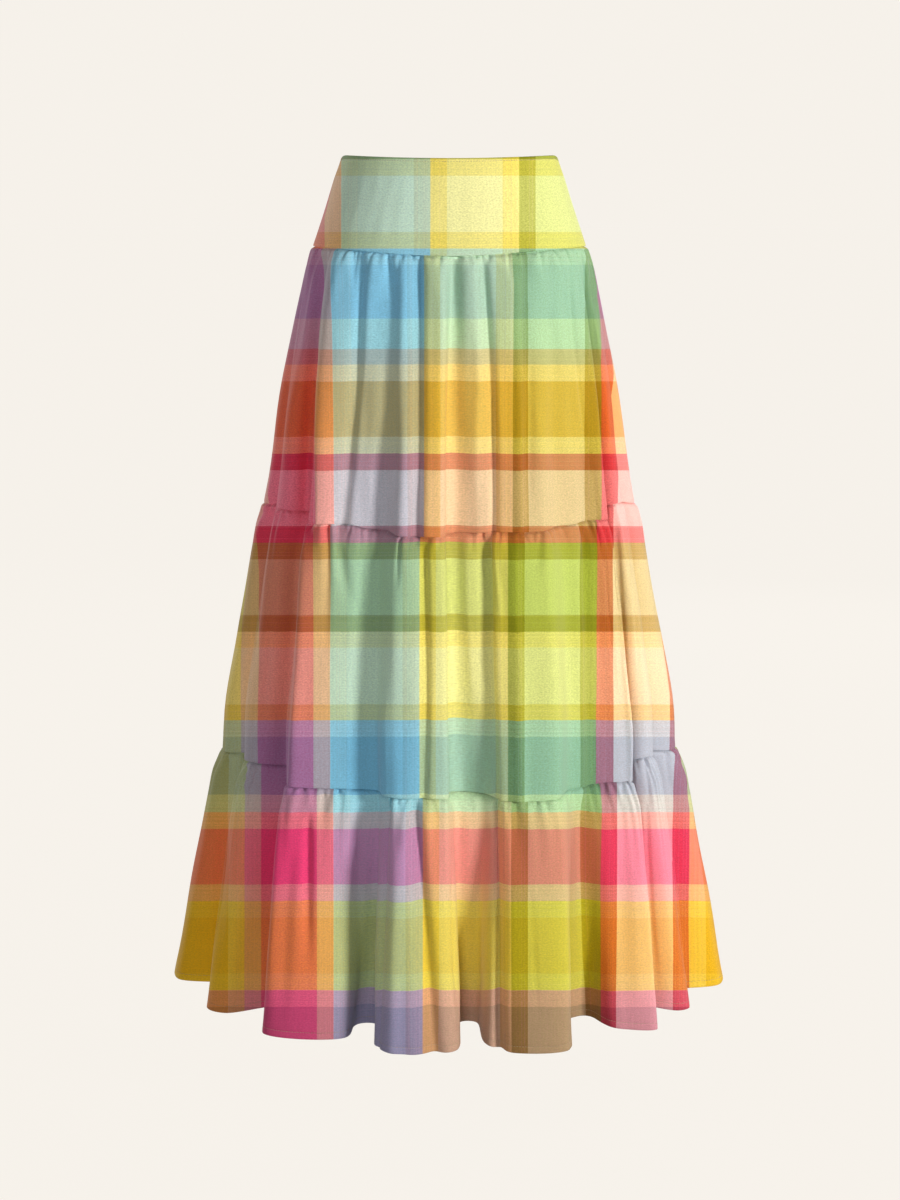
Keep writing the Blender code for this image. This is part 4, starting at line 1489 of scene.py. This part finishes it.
@dataclass(frozen=True)
class MadrasCheck:
    """The check: two runs of striped yarn that cross, seen as the even mix of the two.

    Narrow stripes are striped finely within themselves, by streaks and by a few stray threads of another
    colour, and broad ones only faintly. A bank is as many stripes as one colour ramp takes.
    """

    warp_start: float = -0.2389
    weft_start: float = -0.0178
    bank: int = 8
    table: int = 255
    narrow: float = 0.030
    broad_share: float = 0.25
    fray: float = 0.0007
    streak: float = 0.22
    streak_scale: float = 420.0
    streak_detail: float = 3.0
    stray: tuple[float, float, float, float] = (0.93, 0.74, 0.78, 1.0)
    stray_share: float = 0.14
    stray_scale: float = 610.0
    stray_from: float = 0.60
    stray_sharpness: float = 8.0
    eye_gamma: float = 2.2

    def ramp(self, graph: Graph, place: object, stripes: tuple[Stripe, ...], start: float) -> tuple:
        """Colour a place by the stripe that it falls in.

        Args:
            graph: Where the nodes go.
            place: The socket that gives the place, in metres.
            stripes: The stripes of one repeat, in order.
            start: Where a repeat begins.

        Returns:
            The sockets of the yarn's colour and of how finely it is striped within itself.
        """
        length = sum(stripe.wide for stripe in stripes)
        turns = graph.math("FRACT", graph.math("DIVIDE", graph.math("SUBTRACT", place, start), length))
        along = graph.math("MULTIPLY", turns, length)
        colour, fine, reach = None, None, 0.0
        for first in range(0, len(stripes), self.bank):
            bank = stripes[first : first + self.bank]
            wide = sum(stripe.wide for stripe in bank)
            share = graph.math("DIVIDE", graph.math("SUBTRACT", along, reach), wide)
            node = graph.put("ValToRGB", {"Fac": share})
            self.fill(node.color_ramp, bank, wide)
            if colour is None:
                colour, fine = node.outputs["Color"], node.outputs["Alpha"]
            else:
                past = graph.math("GREATER_THAN", along, reach)
                colour = graph.mix(past, colour, node.outputs["Color"])
                change = graph.math("SUBTRACT", node.outputs["Alpha"], fine)
                fine = graph.math("MULTIPLY_ADD", past, change, fine)
            reach += wide
        return colour, fine

    def fill(self, ramp: bpy.types.ColorRamp, bank: tuple[Stripe, ...], wide: float) -> None:
        """Set a ramp's stops to a bank of stripes, each begun half a step of the ramp's table early.

        Args:
            ramp: The ramp, as it is when it is new.
            bank: The stripes.
            wide: How wide they are together.
        """
        ramp.interpolation = "CONSTANT"
        ramp.elements.remove(ramp.elements[-1])
        reach = 0.0
        for index, stripe in enumerate(bank):
            at = max(reach / wide - 0.5 / self.table, 0.0)
            stop = ramp.elements[0] if index == 0 else ramp.elements.new(at)
            stop.position = at
            stop.color = (*stripe.yarn.value, 1.0 if stripe.wide < self.narrow else self.broad_share)
            reach += stripe.wide

    def group(self) -> bpy.types.NodeTree:
        """Build the shared group that turns a place on the cloth into the colour of its yarns.

        Returns:
            The group.
        """
        sockets = {"Across": "Float", "Down": "Float", "Weft share": "Float", "Grain": "Float"}
        tree = new_group("madras_check", sockets, {"Color": "Color"})
        graph = Graph(tree)
        entry = graph.put("NodeGroupInput")
        jitter = graph.about_half(entry.outputs["Grain"], self.fray)
        colours = []
        for place, stripes, start in (
            (entry.outputs["Across"], WARP, self.warp_start),
            (entry.outputs["Down"], WEFT, self.weft_start),
        ):
            colour, fine = self.ramp(graph, graph.math("ADD", place, jitter), stripes, start)
            strays = graph.math("SUBTRACT", graph.noise("1D", place, self.stray_scale, 0.0), self.stray_from)
            strays = graph.math("MULTIPLY", strays, self.stray_sharpness, clamped=True)
            strays = graph.math("MULTIPLY", strays, self.stray_share)
            colour = graph.mix(graph.math("MULTIPLY", strays, fine), colour, self.stray)
            thread = graph.noise("1D", place, self.streak_scale, self.streak_detail)
            gain = graph.math("MULTIPLY_ADD", graph.about_half(thread, fine), self.streak, 1.0)
            colours.append(graph.gained(colour, gain))
        mixed = graph.mix(entry.outputs["Weft share"], *colours)
        seen = graph.put("Gamma", {"Color": mixed, "Gamma": self.eye_gamma})
        graph.put("NodeGroupOutput", {"Color": seen.outputs[0]})
        return tree


@dataclass(frozen=True)
class PlainWeave:
    """The weave: yarns that pass over and under each other, with slubs and a fine grain."""

    grain_scale: float = 900.0
    slub_close: float = 1400.0
    slub_long: float = 55.0
    slub_height: float = 0.6
    mottle_turn: float = math.radians(38.0)
    mottle_scale: tuple[float, float, float] = (400.0, 760.0, 1.0)
    mottle_share: float = 0.14
    over_share: float = 0.16

    def group(self) -> bpy.types.NodeTree:
        """Build the shared group that gives the weave's height, its mix of yarns and its grain.

        Returns:
            The group.
        """
        sockets = {"Across": "Float", "Down": "Float", "Pitch": "Float"}
        outputs = dict.fromkeys(("Height", "Weft share", "Grain", "Slub", "Mottle"), "Float")
        tree = new_group("plain_weave", sockets, outputs)
        graph = Graph(tree)
        entry = graph.put("NodeGroupInput")
        across, down, pitch = (entry.outputs[name] for name in sockets)
        waves = []
        for place in (across, down):
            turns = graph.math("DIVIDE", place, pitch)
            waves.append(graph.math("SINE", graph.math("MULTIPLY", turns, math.pi)))
        over = graph.math("MULTIPLY", *waves)
        point = graph.put("CombineXYZ", {"X": across, "Y": down, "Z": 0.0}).outputs[0]
        slubs = []
        for scale in ((self.slub_close, self.slub_long, 1.0), (self.slub_long, self.slub_close, 1.0)):
            stretched = graph.put("Mapping", {"Vector": point, "Scale": scale}).outputs[0]
            slubs.append(graph.noise("2D", stretched, 1.0, 1.0))
        slub = graph.math("MULTIPLY", graph.math("ADD", *slubs), 0.5)
        rotation = (0.0, 0.0, self.mottle_turn)
        turned = graph.put("Mapping", {"Vector": point, "Rotation": rotation, "Scale": self.mottle_scale})
        mottle = graph.noise("2D", turned.outputs[0], 1.0, 2.0)
        height = graph.math("MULTIPLY_ADD", over, 0.5, 0.5)
        share = graph.math("MULTIPLY_ADD", over, self.over_share, 0.5)
        values = {
            "Height": graph.math("ADD", height, graph.math("MULTIPLY", slub, self.slub_height)),
            "Weft share": graph.math("ADD", share, graph.about_half(mottle, self.mottle_share)),
            "Grain": graph.noise("3D", point, self.grain_scale, 2.0),
            "Slub": slub,
            "Mottle": mottle,
        }
        graph.put("NodeGroupOutput", values)
        return tree


@dataclass(frozen=True)
class CottonFinish:
    """The checked cotton of one tier. The check lies a little to the side from tier to tier."""

    name: str
    shift: float
    pitch: float = 0.0006
    roughness: float = 0.76
    slub_roughness: float = 0.12
    sheen: float = 0.18
    sheen_roughness: float = 0.45
    specular: float = 0.22
    grain_gain: float = 0.20
    slub_gain: float = 0.34
    mottle_gain: float = 0.52
    weave_bump: float = 0.00012
    weave_strength: float = 0.8
    crumple_bump: float = 0.0005
    crumple_scale: float = 55.0

    def material(self, check: bpy.types.NodeTree, weave: bpy.types.NodeTree) -> bpy.types.Material:
        """Build the cotton's material from the shared check and weave.

        Args:
            check: The group that gives the yarns' colour.
            weave: The group that gives the weave.

        Returns:
            The material.
        """
        material, graph = new_material(self.name)
        check_map, yarn_map = (
            graph.put("SeparateXYZ", {0: graph.put("UVMap", uv_map=name).outputs[0]}).outputs
            for name in ("check", "yarn")
        )
        yarns = {"Across": yarn_map[0], "Down": yarn_map[1], "Pitch": self.pitch}
        woven = graph.put("Group", yarns, node_tree=weave).outputs
        dyes = {
            "Across": graph.math("SUBTRACT", check_map[0], self.shift),
            "Down": check_map[1],
            "Weft share": woven["Weft share"],
            "Grain": woven["Grain"],
        }
        dyed = graph.put("Group", dyes, node_tree=check).outputs
        speck = graph.about_half(woven["Grain"], self.grain_gain)
        slub = graph.about_half(woven["Slub"], self.slub_gain)
        cloud = graph.about_half(woven["Mottle"], self.mottle_gain)
        gain = graph.math("ADD", graph.math("ADD", speck, slub), graph.math("ADD", cloud, 1.0))
        crumple = graph.noise("3D", graph.put("TexCoord").outputs["Object"], self.crumple_scale, 3.0)
        folds = graph.bump(crumple, self.crumple_bump, 1.0)
        inputs = {
            "Base Color": graph.gained(dyed["Color"], gain),
            "Roughness": graph.math("MULTIPLY_ADD", woven["Slub"], self.slub_roughness, self.roughness),
            "Normal": graph.bump(woven["Height"], self.weave_bump, self.weave_strength, Normal=folds),
            "Specular IOR Level": self.specular,
            "Sheen Weight": self.sheen,
            "Sheen Roughness": self.sheen_roughness,
        }
        graph.surface(inputs)
        return material


@dataclass(frozen=True)
class ThreadFinish:
    """Spun sewing thread, matt, in a soft straw colour that goes with every stripe."""

    colour: tuple[float, float, float] = (0.42, 0.33, 0.20)
    dark: float = 0.72
    fibre_scale: float = 2200.0
    fibre_bump: float = 0.0001
    fibre_strength: float = 0.6
    roughness: float = 0.78
    sheen: float = 0.2

    def material(self) -> bpy.types.Material:
        """Build the thread's material, with its twist as a fine bump.

        Returns:
            The material.
        """
        material, graph = new_material("sewing_thread")
        fibre = graph.noise("3D", graph.put("TexCoord").outputs["Object"], self.fibre_scale, 2.0)
        inputs = {
            "Base Color": graph.toned(fibre, self.colour, self.dark),
            "Roughness": self.roughness,
            "Normal": graph.bump(fibre, self.fibre_bump, self.fibre_strength),
            "Sheen Weight": self.sheen,
        }
        graph.surface(inputs)
        return material


@dataclass(frozen=True)
class TapeFinish:
    """The zip's tape: a close herringbone in undyed polyester, with painted shade in the troughs of its ribs.
    """

    colour: tuple[float, float, float] = (0.56, 0.52, 0.30)
    # How dark the painted shade in the troughs of the ribs makes the colour.
    dark: float = 0.7
    rib: float = 0.0009
    rib_bump: float = 0.0002
    rib_strength: float = 0.7
    roughness: float = 0.7

    def material(self) -> bpy.types.Material:
        """Build the tape's material with its slanting ribs, whose troughs get a painted shade.

        Returns:
            The material.
        """
        material, graph = new_material("zip_tape_weave")
        place = graph.put("SeparateXYZ", {0: graph.put("TexCoord").outputs["Object"]}).outputs
        slant = graph.math("ADD", graph.math("ABSOLUTE", place[0]), place[2])
        ribs = graph.math("SINE", graph.math("MULTIPLY", slant, 2.0 * math.pi / self.rib))
        height = graph.math("MULTIPLY_ADD", ribs, 0.5, 0.5)
        inputs = {
            # Painted shade: the colour darkens in the troughs of the ribs, where the bump sinks.
            "Base Color": graph.toned(height, self.colour, self.dark),
            "Roughness": self.roughness,
            "Normal": graph.bump(height, self.rib_bump, self.rib_strength),
        }
        graph.surface(inputs)
        return material


@dataclass(frozen=True)
class MetalFinish:
    """Brushed zinc with a warm cast, or smooth nylon, a little duller where hands have not polished it."""

    name: str
    colour: tuple[float, float, float]
    metallic: float
    roughness: float
    dark: float = 0.78
    brushing: tuple[float, float, float] = (5200.0, 5200.0, 260.0)
    brush_roughness: float = 0.22
    brush_bump: float = 0.00005
    brush_strength: float = 0.25
    cloud_scale: float = 380.0

    def material(self) -> bpy.types.Material:
        """Build the material, brushed along Z.

        Returns:
            The material.
        """
        material, graph = new_material(self.name)
        place = graph.put("TexCoord").outputs["Object"]
        brushed = graph.put("Mapping", {"Vector": place, "Scale": self.brushing}).outputs[0]
        lines = graph.noise("3D", brushed, 1.0, 2.0)
        cloud = graph.noise("3D", place, self.cloud_scale, 2.0)
        inputs = {
            "Base Color": graph.toned(cloud, self.colour, self.dark),
            "Roughness": graph.math("MULTIPLY_ADD", lines, self.brush_roughness, self.roughness),
            "Metallic": self.metallic,
            "Normal": graph.bump(lines, self.brush_bump, self.brush_strength),
        }
        graph.surface(inputs)
        return material


NYLON = MetalFinish("zip_coil_nylon", (0.60, 0.56, 0.36), 0.0, 0.32)
ZINC = MetalFinish("zip_metal_cast", (0.63, 0.60, 0.54), 1.0, 0.24)


@dataclass(frozen=True)
class StitchRow:
    """A row of machine stitches that lie on the cloth at one level."""

    name: str
    level: float
    length: float = 0.0026
    pitch: float = 0.0032
    half_wide: float = 0.00022
    flatness: float = 0.8
    proud: float = -0.00005
    beside: float = 0.001
    skin: float = 0.0005
    segments: int = 6
    rings: int = 5

    def stitch(self) -> bpy.types.Object:
        """Model one stitch: a slim bead of thread, flattened where it is pulled into the cloth.

        Returns:
            The stitch, which lies along X.
        """
        bpy.ops.object.select_all(action="DESELECT")
        bpy.ops.mesh.primitive_uv_sphere_add(
            segments=self.segments,
            ring_count=self.rings,
            radius=1.0,
            rotation=(0.0, math.pi / 2.0, 0.0),
        )
        bpy.ops.object.transform_apply(location=False, rotation=True, scale=False)
        return Bench.shape((self.length / 2.0, self.half_wide, self.half_wide * self.flatness))

    @staticmethod
    def read(ring: np.ndarray, reach: np.ndarray, marks: np.ndarray) -> np.ndarray:
        """Read the vectors of a closed ring at marks along it."""
        closed = np.vstack([ring, ring[:1]])
        return np.stack([np.interp(marks, reach, closed[:, axis]) for axis in range(3)], axis=1)

    def sew(self, tier: ClothTier, surface: Surface) -> bpy.types.Object:
        """Sew the row round a tier.

        Args:
            tier: The tier that it is sewn through.
            surface: The tier's surface.

        Returns:
            The stitches as one piece.
        """
        tucked = np.array([row.inside >= self.skin for row in tier.rows()])
        row = int(np.argmin(np.abs(surface.levels - self.level) + tucked))
        normals = surface.normals[row]
        line = surface.points[row] + normals * (self.half_wide * self.flatness + self.proud)
        places, around = tier.walk(line)
        count = int(around / self.pitch)
        marks = (np.arange(count) + 0.5) * around / count
        reach = np.append(places, around)
        steps = (0.0, -self.beside, self.beside)
        middle, before, after = (self.read(line, reach, marks + step) for step in steps)
        frames = []
        for centre, start, end, normal in zip(middle, before, after, self.read(normals, reach, marks)):
            along = Vector(end - start).normalized()
            upright = Vector(normal).normalized()
            side = upright.cross(along).normalized()
            turn = Matrix((along, side, upright)).transposed().to_4x4()
            frames.append(Matrix.Translation(Vector(centre)) @ turn)
        return Bench.copies(self.name, self.stitch(), frames)


@dataclass(frozen=True)
class ConcealedZip:
    """The closed zip at the centre back: its coil, its stop, its slider and the pull that hangs outside."""

    top: float = 0.026
    bottom: float = 0.200
    pitch: float = 0.0013
    coil_radius: float = 0.00135
    coil_flatness: float = 0.62
    coil_tilt: float = math.radians(16.0)
    coil_aside: float = 0.00035
    coil_steps: int = 12
    wire: float = 0.00032
    wire_steps: int = 5
    inside: float = 0.00145
    behind: float = 0.0008
    beside: float = 0.004
    stop_size: tuple[float, float, float] = (0.0040, 0.0024, 0.0034)
    stop_bevel: float = 0.0006
    bevel: float = 0.00022
    bevel_steps: int = 3
    merge: float = 0.00001
    flat_angle: float = math.radians(2.0)
    edge_angle: float = math.radians(32.0)
    crease_angle: float = 40.0

    def line(self, level: float) -> Vector:
        """The zip's middle at one level, behind the edges of the panels.

        Args:
            level: The depth under the waist.

        Returns:
            The point.
        """
        counts = Counts(2, 1, 1, 1)
        ring = FORM.ring(level, counts)
        column = CENTRE_BACK * counts.fold
        return Vector(ring[column] - outward(ring)[column] * (self.inside + self.behind))

    def frame_at(self, level: float) -> Matrix:
        """The place and the lean of the zip's middle at one level.

        Args:
            level: The depth under the waist.

        Returns:
            The frame, with Z along the zip.
        """
        slope = self.line(level + self.beside) - self.line(level - self.beside)
        turn = slope.to_track_quat("Z", "Y").to_matrix().to_4x4()
        return Matrix.Translation(self.line(level)) @ turn

    def coil(self) -> bpy.types.Object:
        """Model the two meshed coils as a close row of loops of nylon wire.

        Returns:
            The piece.
        """
        bpy.ops.object.select_all(action="DESELECT")
        bpy.ops.mesh.primitive_torus_add(
            major_segments=self.coil_steps,
            minor_segments=self.wire_steps,
            major_radius=self.coil_radius,
            minor_radius=self.wire,
        )
        model = Bench.shape((1.0, self.coil_flatness, 1.0))
        frames = []
        for index in range(int((self.bottom - self.top) / self.pitch)):
            sign = 1.0 if index % 2 else -1.0
            tilt = Matrix.Rotation(sign * self.coil_tilt, 4, "Y")
            aside = Matrix.Translation((sign * self.coil_aside, 0.0, 0.0))
            frames.append(self.frame_at(self.top + self.pitch * index) @ aside @ tilt)
        return Bench.copies("zip_coil", model, frames)

    def stop(self) -> bpy.types.Object:
        """Model the bottom stop: a small clip of metal closed over both coils.

        Returns:
            The piece.
        """
        bpy.ops.object.select_all(action="DESELECT")
        bpy.ops.mesh.primitive_cube_add(size=1.0)
        model = Bench.shape(self.stop_size)
        bpy.ops.object.mode_set(mode="EDIT")
        bpy.ops.mesh.bevel(offset=self.stop_bevel, segments=self.bevel_steps, affect="EDGES")
        bpy.ops.object.mode_set(mode="OBJECT")
        return Bench.copies("zip_bottom_stop", model, [self.frame_at(self.bottom)])

    def polished(self, node: str, name: str) -> bpy.types.Object:
        """Copy a solid of the zip and round its edges as a casting's are.

        Args:
            node: The solid that is copied.
            name: The new piece's name.

        Returns:
            The rounded copy, in the solid's place.
        """
        piece = Bench.add(name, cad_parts[node].data.copy())
        Bench.pick(piece)
        bpy.ops.object.mode_set(mode="EDIT")
        bpy.ops.mesh.select_all(action="SELECT")
        bpy.ops.mesh.remove_doubles(threshold=self.merge)
        bpy.ops.mesh.dissolve_limited(angle_limit=self.flat_angle)
        bpy.ops.object.mode_set(mode="OBJECT")
        rounded = piece.modifiers.new("rounded", "BEVEL")
        rounded.width = self.bevel
        rounded.segments = self.bevel_steps
        rounded.limit_method = "ANGLE"
        rounded.angle_limit = self.edge_angle
        Bench.finish(piece, self.crease_angle)
        return piece


@dataclass(frozen=True)
class Lamp:
    """A soft square lamp that looks at the skirt."""

    name: str
    place: tuple[float, float, float]
    size: float
    power: float
    colour: tuple[float, float, float] = (1.0, 1.0, 1.0)


@dataclass(frozen=True)
class Studio:
    """A pale floor in an even pale room, with a lamp on the right and weaker ones around.

    room_light and floor_light are the shares of the light seen there that fall on the skirt, and floor_matt
    is the share of the paper that takes a shadow.
    """

    floor_level: float = -1.10
    floor_half: float = 40.0
    pale: tuple[float, float, float] = (0.921, 0.881, 0.823)
    room_light: float = 0.10
    floor_light: float = 0.20
    floor_matt: float = 0.01
    paper_scale: float = 3.0
    paper_dark: float = 0.985
    lamps: tuple[Lamp, ...] = (
        Lamp("key", (2.62, -2.60, 0.30), 0.6, 124.0, (1.0, 0.985, 0.955)),
        Lamp("front", (-0.35, -3.80, -0.10), 1.0, 34.0),
        Lamp("left", (-3.50, -1.30, -0.10), 1.0, 16.0),
        Lamp("rear_right", (2.90, 1.10, 1.60), 1.0, 60.0),
        Lamp("back", (0.9, 3.6, 0.2), 1.2, 60.0),
        Lamp("back_left", (-2.6, 2.6, 0.5), 1.2, 45.0),
    )
    aim: tuple[float, float, float] = (0.0, 0.0, -0.5)

    def floor(self) -> None:
        """Lay the floor: a wide sheet that mostly glows evenly and takes a faint shadow."""
        bpy.ops.object.select_all(action="DESELECT")
        bpy.ops.mesh.primitive_plane_add(size=2.0 * self.floor_half, location=(0.0, 0.0, self.floor_level))
        floor = bpy.context.object
        floor.name = "floor"
        material, graph = new_material("studio_paper")
        pale = (*self.pale, 1.0)
        dark = (*[part * self.paper_dark for part in self.pale], 1.0)
        mottle = graph.noise("3D", graph.put("TexCoord").outputs["Object"], self.paper_scale)
        matt = graph.put("BsdfDiffuse", {"Color": graph.mix(mottle, pale, dark)})
        full = (1.0 - self.floor_matt * self.room_light) / (1.0 - self.floor_matt)
        seen = graph.put("LightPath").outputs["Is Camera Ray"]
        strength = graph.math("MULTIPLY_ADD", seen, full - self.floor_light, self.floor_light)
        glow = graph.put("Emission", {"Color": pale, "Strength": strength})
        paper = graph.put("MixShader", {0: self.floor_matt, 1: glow.outputs[0], 2: matt.outputs[0]})
        graph.put("OutputMaterial", {"Surface": paper.outputs[0]})
        floor.data.materials.append(material)

    def room(self) -> None:
        """Light the room evenly. The eye sees it pale, and the skirt gets a share of that light."""
        world = bpy.data.worlds.new("room")
        bpy.context.scene.world = world
        world.use_nodes = True
        graph = Graph(world.node_tree)
        seen = graph.put("LightPath").outputs["Is Camera Ray"]
        strength = graph.math("MULTIPLY_ADD", seen, 1.0 - self.room_light, self.room_light)
        sky = graph.put("Background", {"Color": (*self.pale, 1.0), "Strength": strength})
        graph.put("OutputWorld", {"Surface": sky.outputs[0]})

    def light(self) -> None:
        """Hang the lamps."""
        for lamp in self.lamps:
            data = bpy.data.lights.new(lamp.name, "AREA")
            data.size = lamp.size
            data.energy = lamp.power
            data.color = lamp.colour
            thing = Bench.add(lamp.name, data)
            thing.location = lamp.place
            thing.rotation_euler = (Vector(self.aim) - Vector(lamp.place)).to_track_quat("-Z", "Y").to_euler()


YOKE = ClothTier(
    name="yoke",
    top=FORM.waist,
    bottom=FORM.yoke_seam,
    counts=Counts(12, 10, 6, 10),
    cad_counts=Counts(2, 1, 1, 1),
    wave=0.0,
    puff=0.0,
    puckers=None,
    upper=None,
    slot="yoke_cloth",
    shift=0.0090,
    middle_rows=12,
    growth=1.0,
    side_stretch=0.85,
    ripple=0.00012,
)
TIER_1 = ClothTier(
    name="tier1",
    top=FORM.yoke_seam,
    bottom=FORM.tier_2_seam,
    counts=Counts(30, 20, 10, 20),
    cad_counts=Counts(2, 1, 1, 1),
    wave=0.0010,
    puff=0.0010,
    puckers=PuckerRun(seed=5, spacing=0.0090, deep=0.0052, half_wide=0.0019, length=0.017),
    upper="yoke",
    slot="tier_1_cloth",
    shift=0.0012,
    over_tapes=True,
    side_stretch=0.35,
)
TIER_2 = ClothTier(
    name="tier2",
    top=FORM.tier_2_seam,
    bottom=FORM.tier_3_seam,
    counts=Counts(32, 30, 8, 30),
    cad_counts=Counts(4, 1, 1, 1),
    wave=0.0012,
    puff=0.0018,
    puckers=PuckerRun(seed=9, spacing=0.0095, deep=0.0056, half_wide=0.0020, length=0.019),
    upper="tier1",
    slot="tier_2_cloth",
    shift=-0.0040,
)
TIER_3 = ClothTier(
    name="tier3",
    top=FORM.tier_3_seam,
    bottom=FORM.hem,
    counts=Counts(34, 38, 10, 38),
    cad_counts=Counts(8, 1, 1, 1),
    wave=0.0013,
    puff=0.0022,
    puckers=PuckerRun(seed=14, spacing=0.0100, deep=0.0060, half_wide=0.0021, length=0.021),
    upper="tier2",
    slot="tier_3_cloth",
    shift=0.0,
)
SEWN = {
    "yoke": StitchRow("waist_stitching", YOKE.top + YOKE.waist_stitch),
    "tier3": StitchRow("hem_stitching", TIER_3.bottom - TIER_3.hem_stitch),
}

# How far round and how high each panel was cut, with its allowances.
FLAT_SIZES = {
    "yoke": {"front": (0.44, 0.117), "back_right": (0.24, 0.117), "back_left": (0.24, 0.117)},
    "tier1": {"front": (0.79, 0.322), "back_right": (0.42, 0.322), "back_left": (0.42, 0.322)},
    "tier2": {"front": (1.09, 0.315), "back": (1.16, 0.315)},
    "tier3": {"front": (1.58, 0.318), "back": (1.68, 0.318)},
}


def panels_of(tier: ClothTier) -> list[Panel]:
    """List the panels of a tier, with the zip's opening between the two of the yoke's back.

    Args:
        tier: The tier that is cut.

    Returns:
        Its panels, from the left side seam over the front.
    """
    per_fold = tier.counts.fold
    seam, zipped, last = SIDE_RIGHT * per_fold, CENTRE_BACK * per_fold, tier.counts.around
    spans = {
        "front": (0, seam),
        "back": (seam, last),
        "back_right": (seam, zipped),
        "back_left": (zipped, last),
    }
    panels = []
    for place, flat in FLAT_SIZES[tier.name].items():
        side = Side.FRONT if place == "front" else Side.BACK
        name = f"{tier.name}_{place}"
        zips = (name == "yoke_back_left", name == "yoke_back_right")
        panels.append(Panel(f"cloth_{name}", name, *spans[place], side, flat, *zips))
    return panels


def dress(piece: bpy.types.Object, material: bpy.types.Material, body: str) -> None:
    """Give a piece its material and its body.

    Args:
        piece: The piece.
        material: What it is made of.
        body: The body that it rides on.
    """
    piece.data.materials.clear()
    piece.data.materials.append(material)
    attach(piece, body)


def report(piece: bpy.types.Object) -> None:
    """Log a finished piece."""
    LOG.info("%s: %d faces", piece.name, len(piece.data.polygons))


def main() -> None:
    """Build every piece in order, dress it and report it."""
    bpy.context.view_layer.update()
    bpy.context.scene.view_settings.view_transform = "Standard"
    VIEW.place_camera()
    studio = Studio()
    studio.floor()
    studio.room()
    studio.light()
    check = MadrasCheck().group()
    weave = PlainWeave().group()
    thread = ThreadFinish().material()
    placing = SettPlacing()
    cutter = PanelCutter()
    for tier in (YOKE, TIER_1, TIER_2, TIER_3):
        surface = tier.surface()
        cotton = CottonFinish(f"{tier.name}_cotton", tier.shift).material(check, weave)
        if tier.name in SEWN:
            stitches = SEWN[tier.name].sew(tier, surface)
            dress(stitches, thread, BODY)
            report(stitches)
        for panel in panels_of(tier):
            piece = cutter.cut(panel, tier, surface, placing)
            dress(piece, cotton, BODY)
            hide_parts(panel.node)
            report(piece)
    zip_parts = ConcealedZip()
    nylon, metal, tape = NYLON.material(), ZINC.material(), TapeFinish().material()
    for piece, finish, body, slot, node in (
        (zip_parts.coil(), nylon, BODY, "zip_tape", None),
        (zip_parts.stop(), metal, BODY, "zip_metal", None),
        (zip_parts.polished("zip_slider", "slider"), metal, BODY, "zip_metal", "zip_slider"),
        (zip_parts.polished("zip_pull", "pull"), metal, PULL_BODY, "zip_metal", "zip_pull"),
    ):
        dress(piece, finish, body)
        if node is not None:
            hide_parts(node)
        report(piece)
    for name in ("zip_tape_left", "zip_tape_right"):
        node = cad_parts[name]
        node.data.materials.clear()
        node.data.materials.append(tape)


if __name__ == "__main__":
    logging.basicConfig(level=logging.INFO, format="%(name)s %(message)s")
    main()
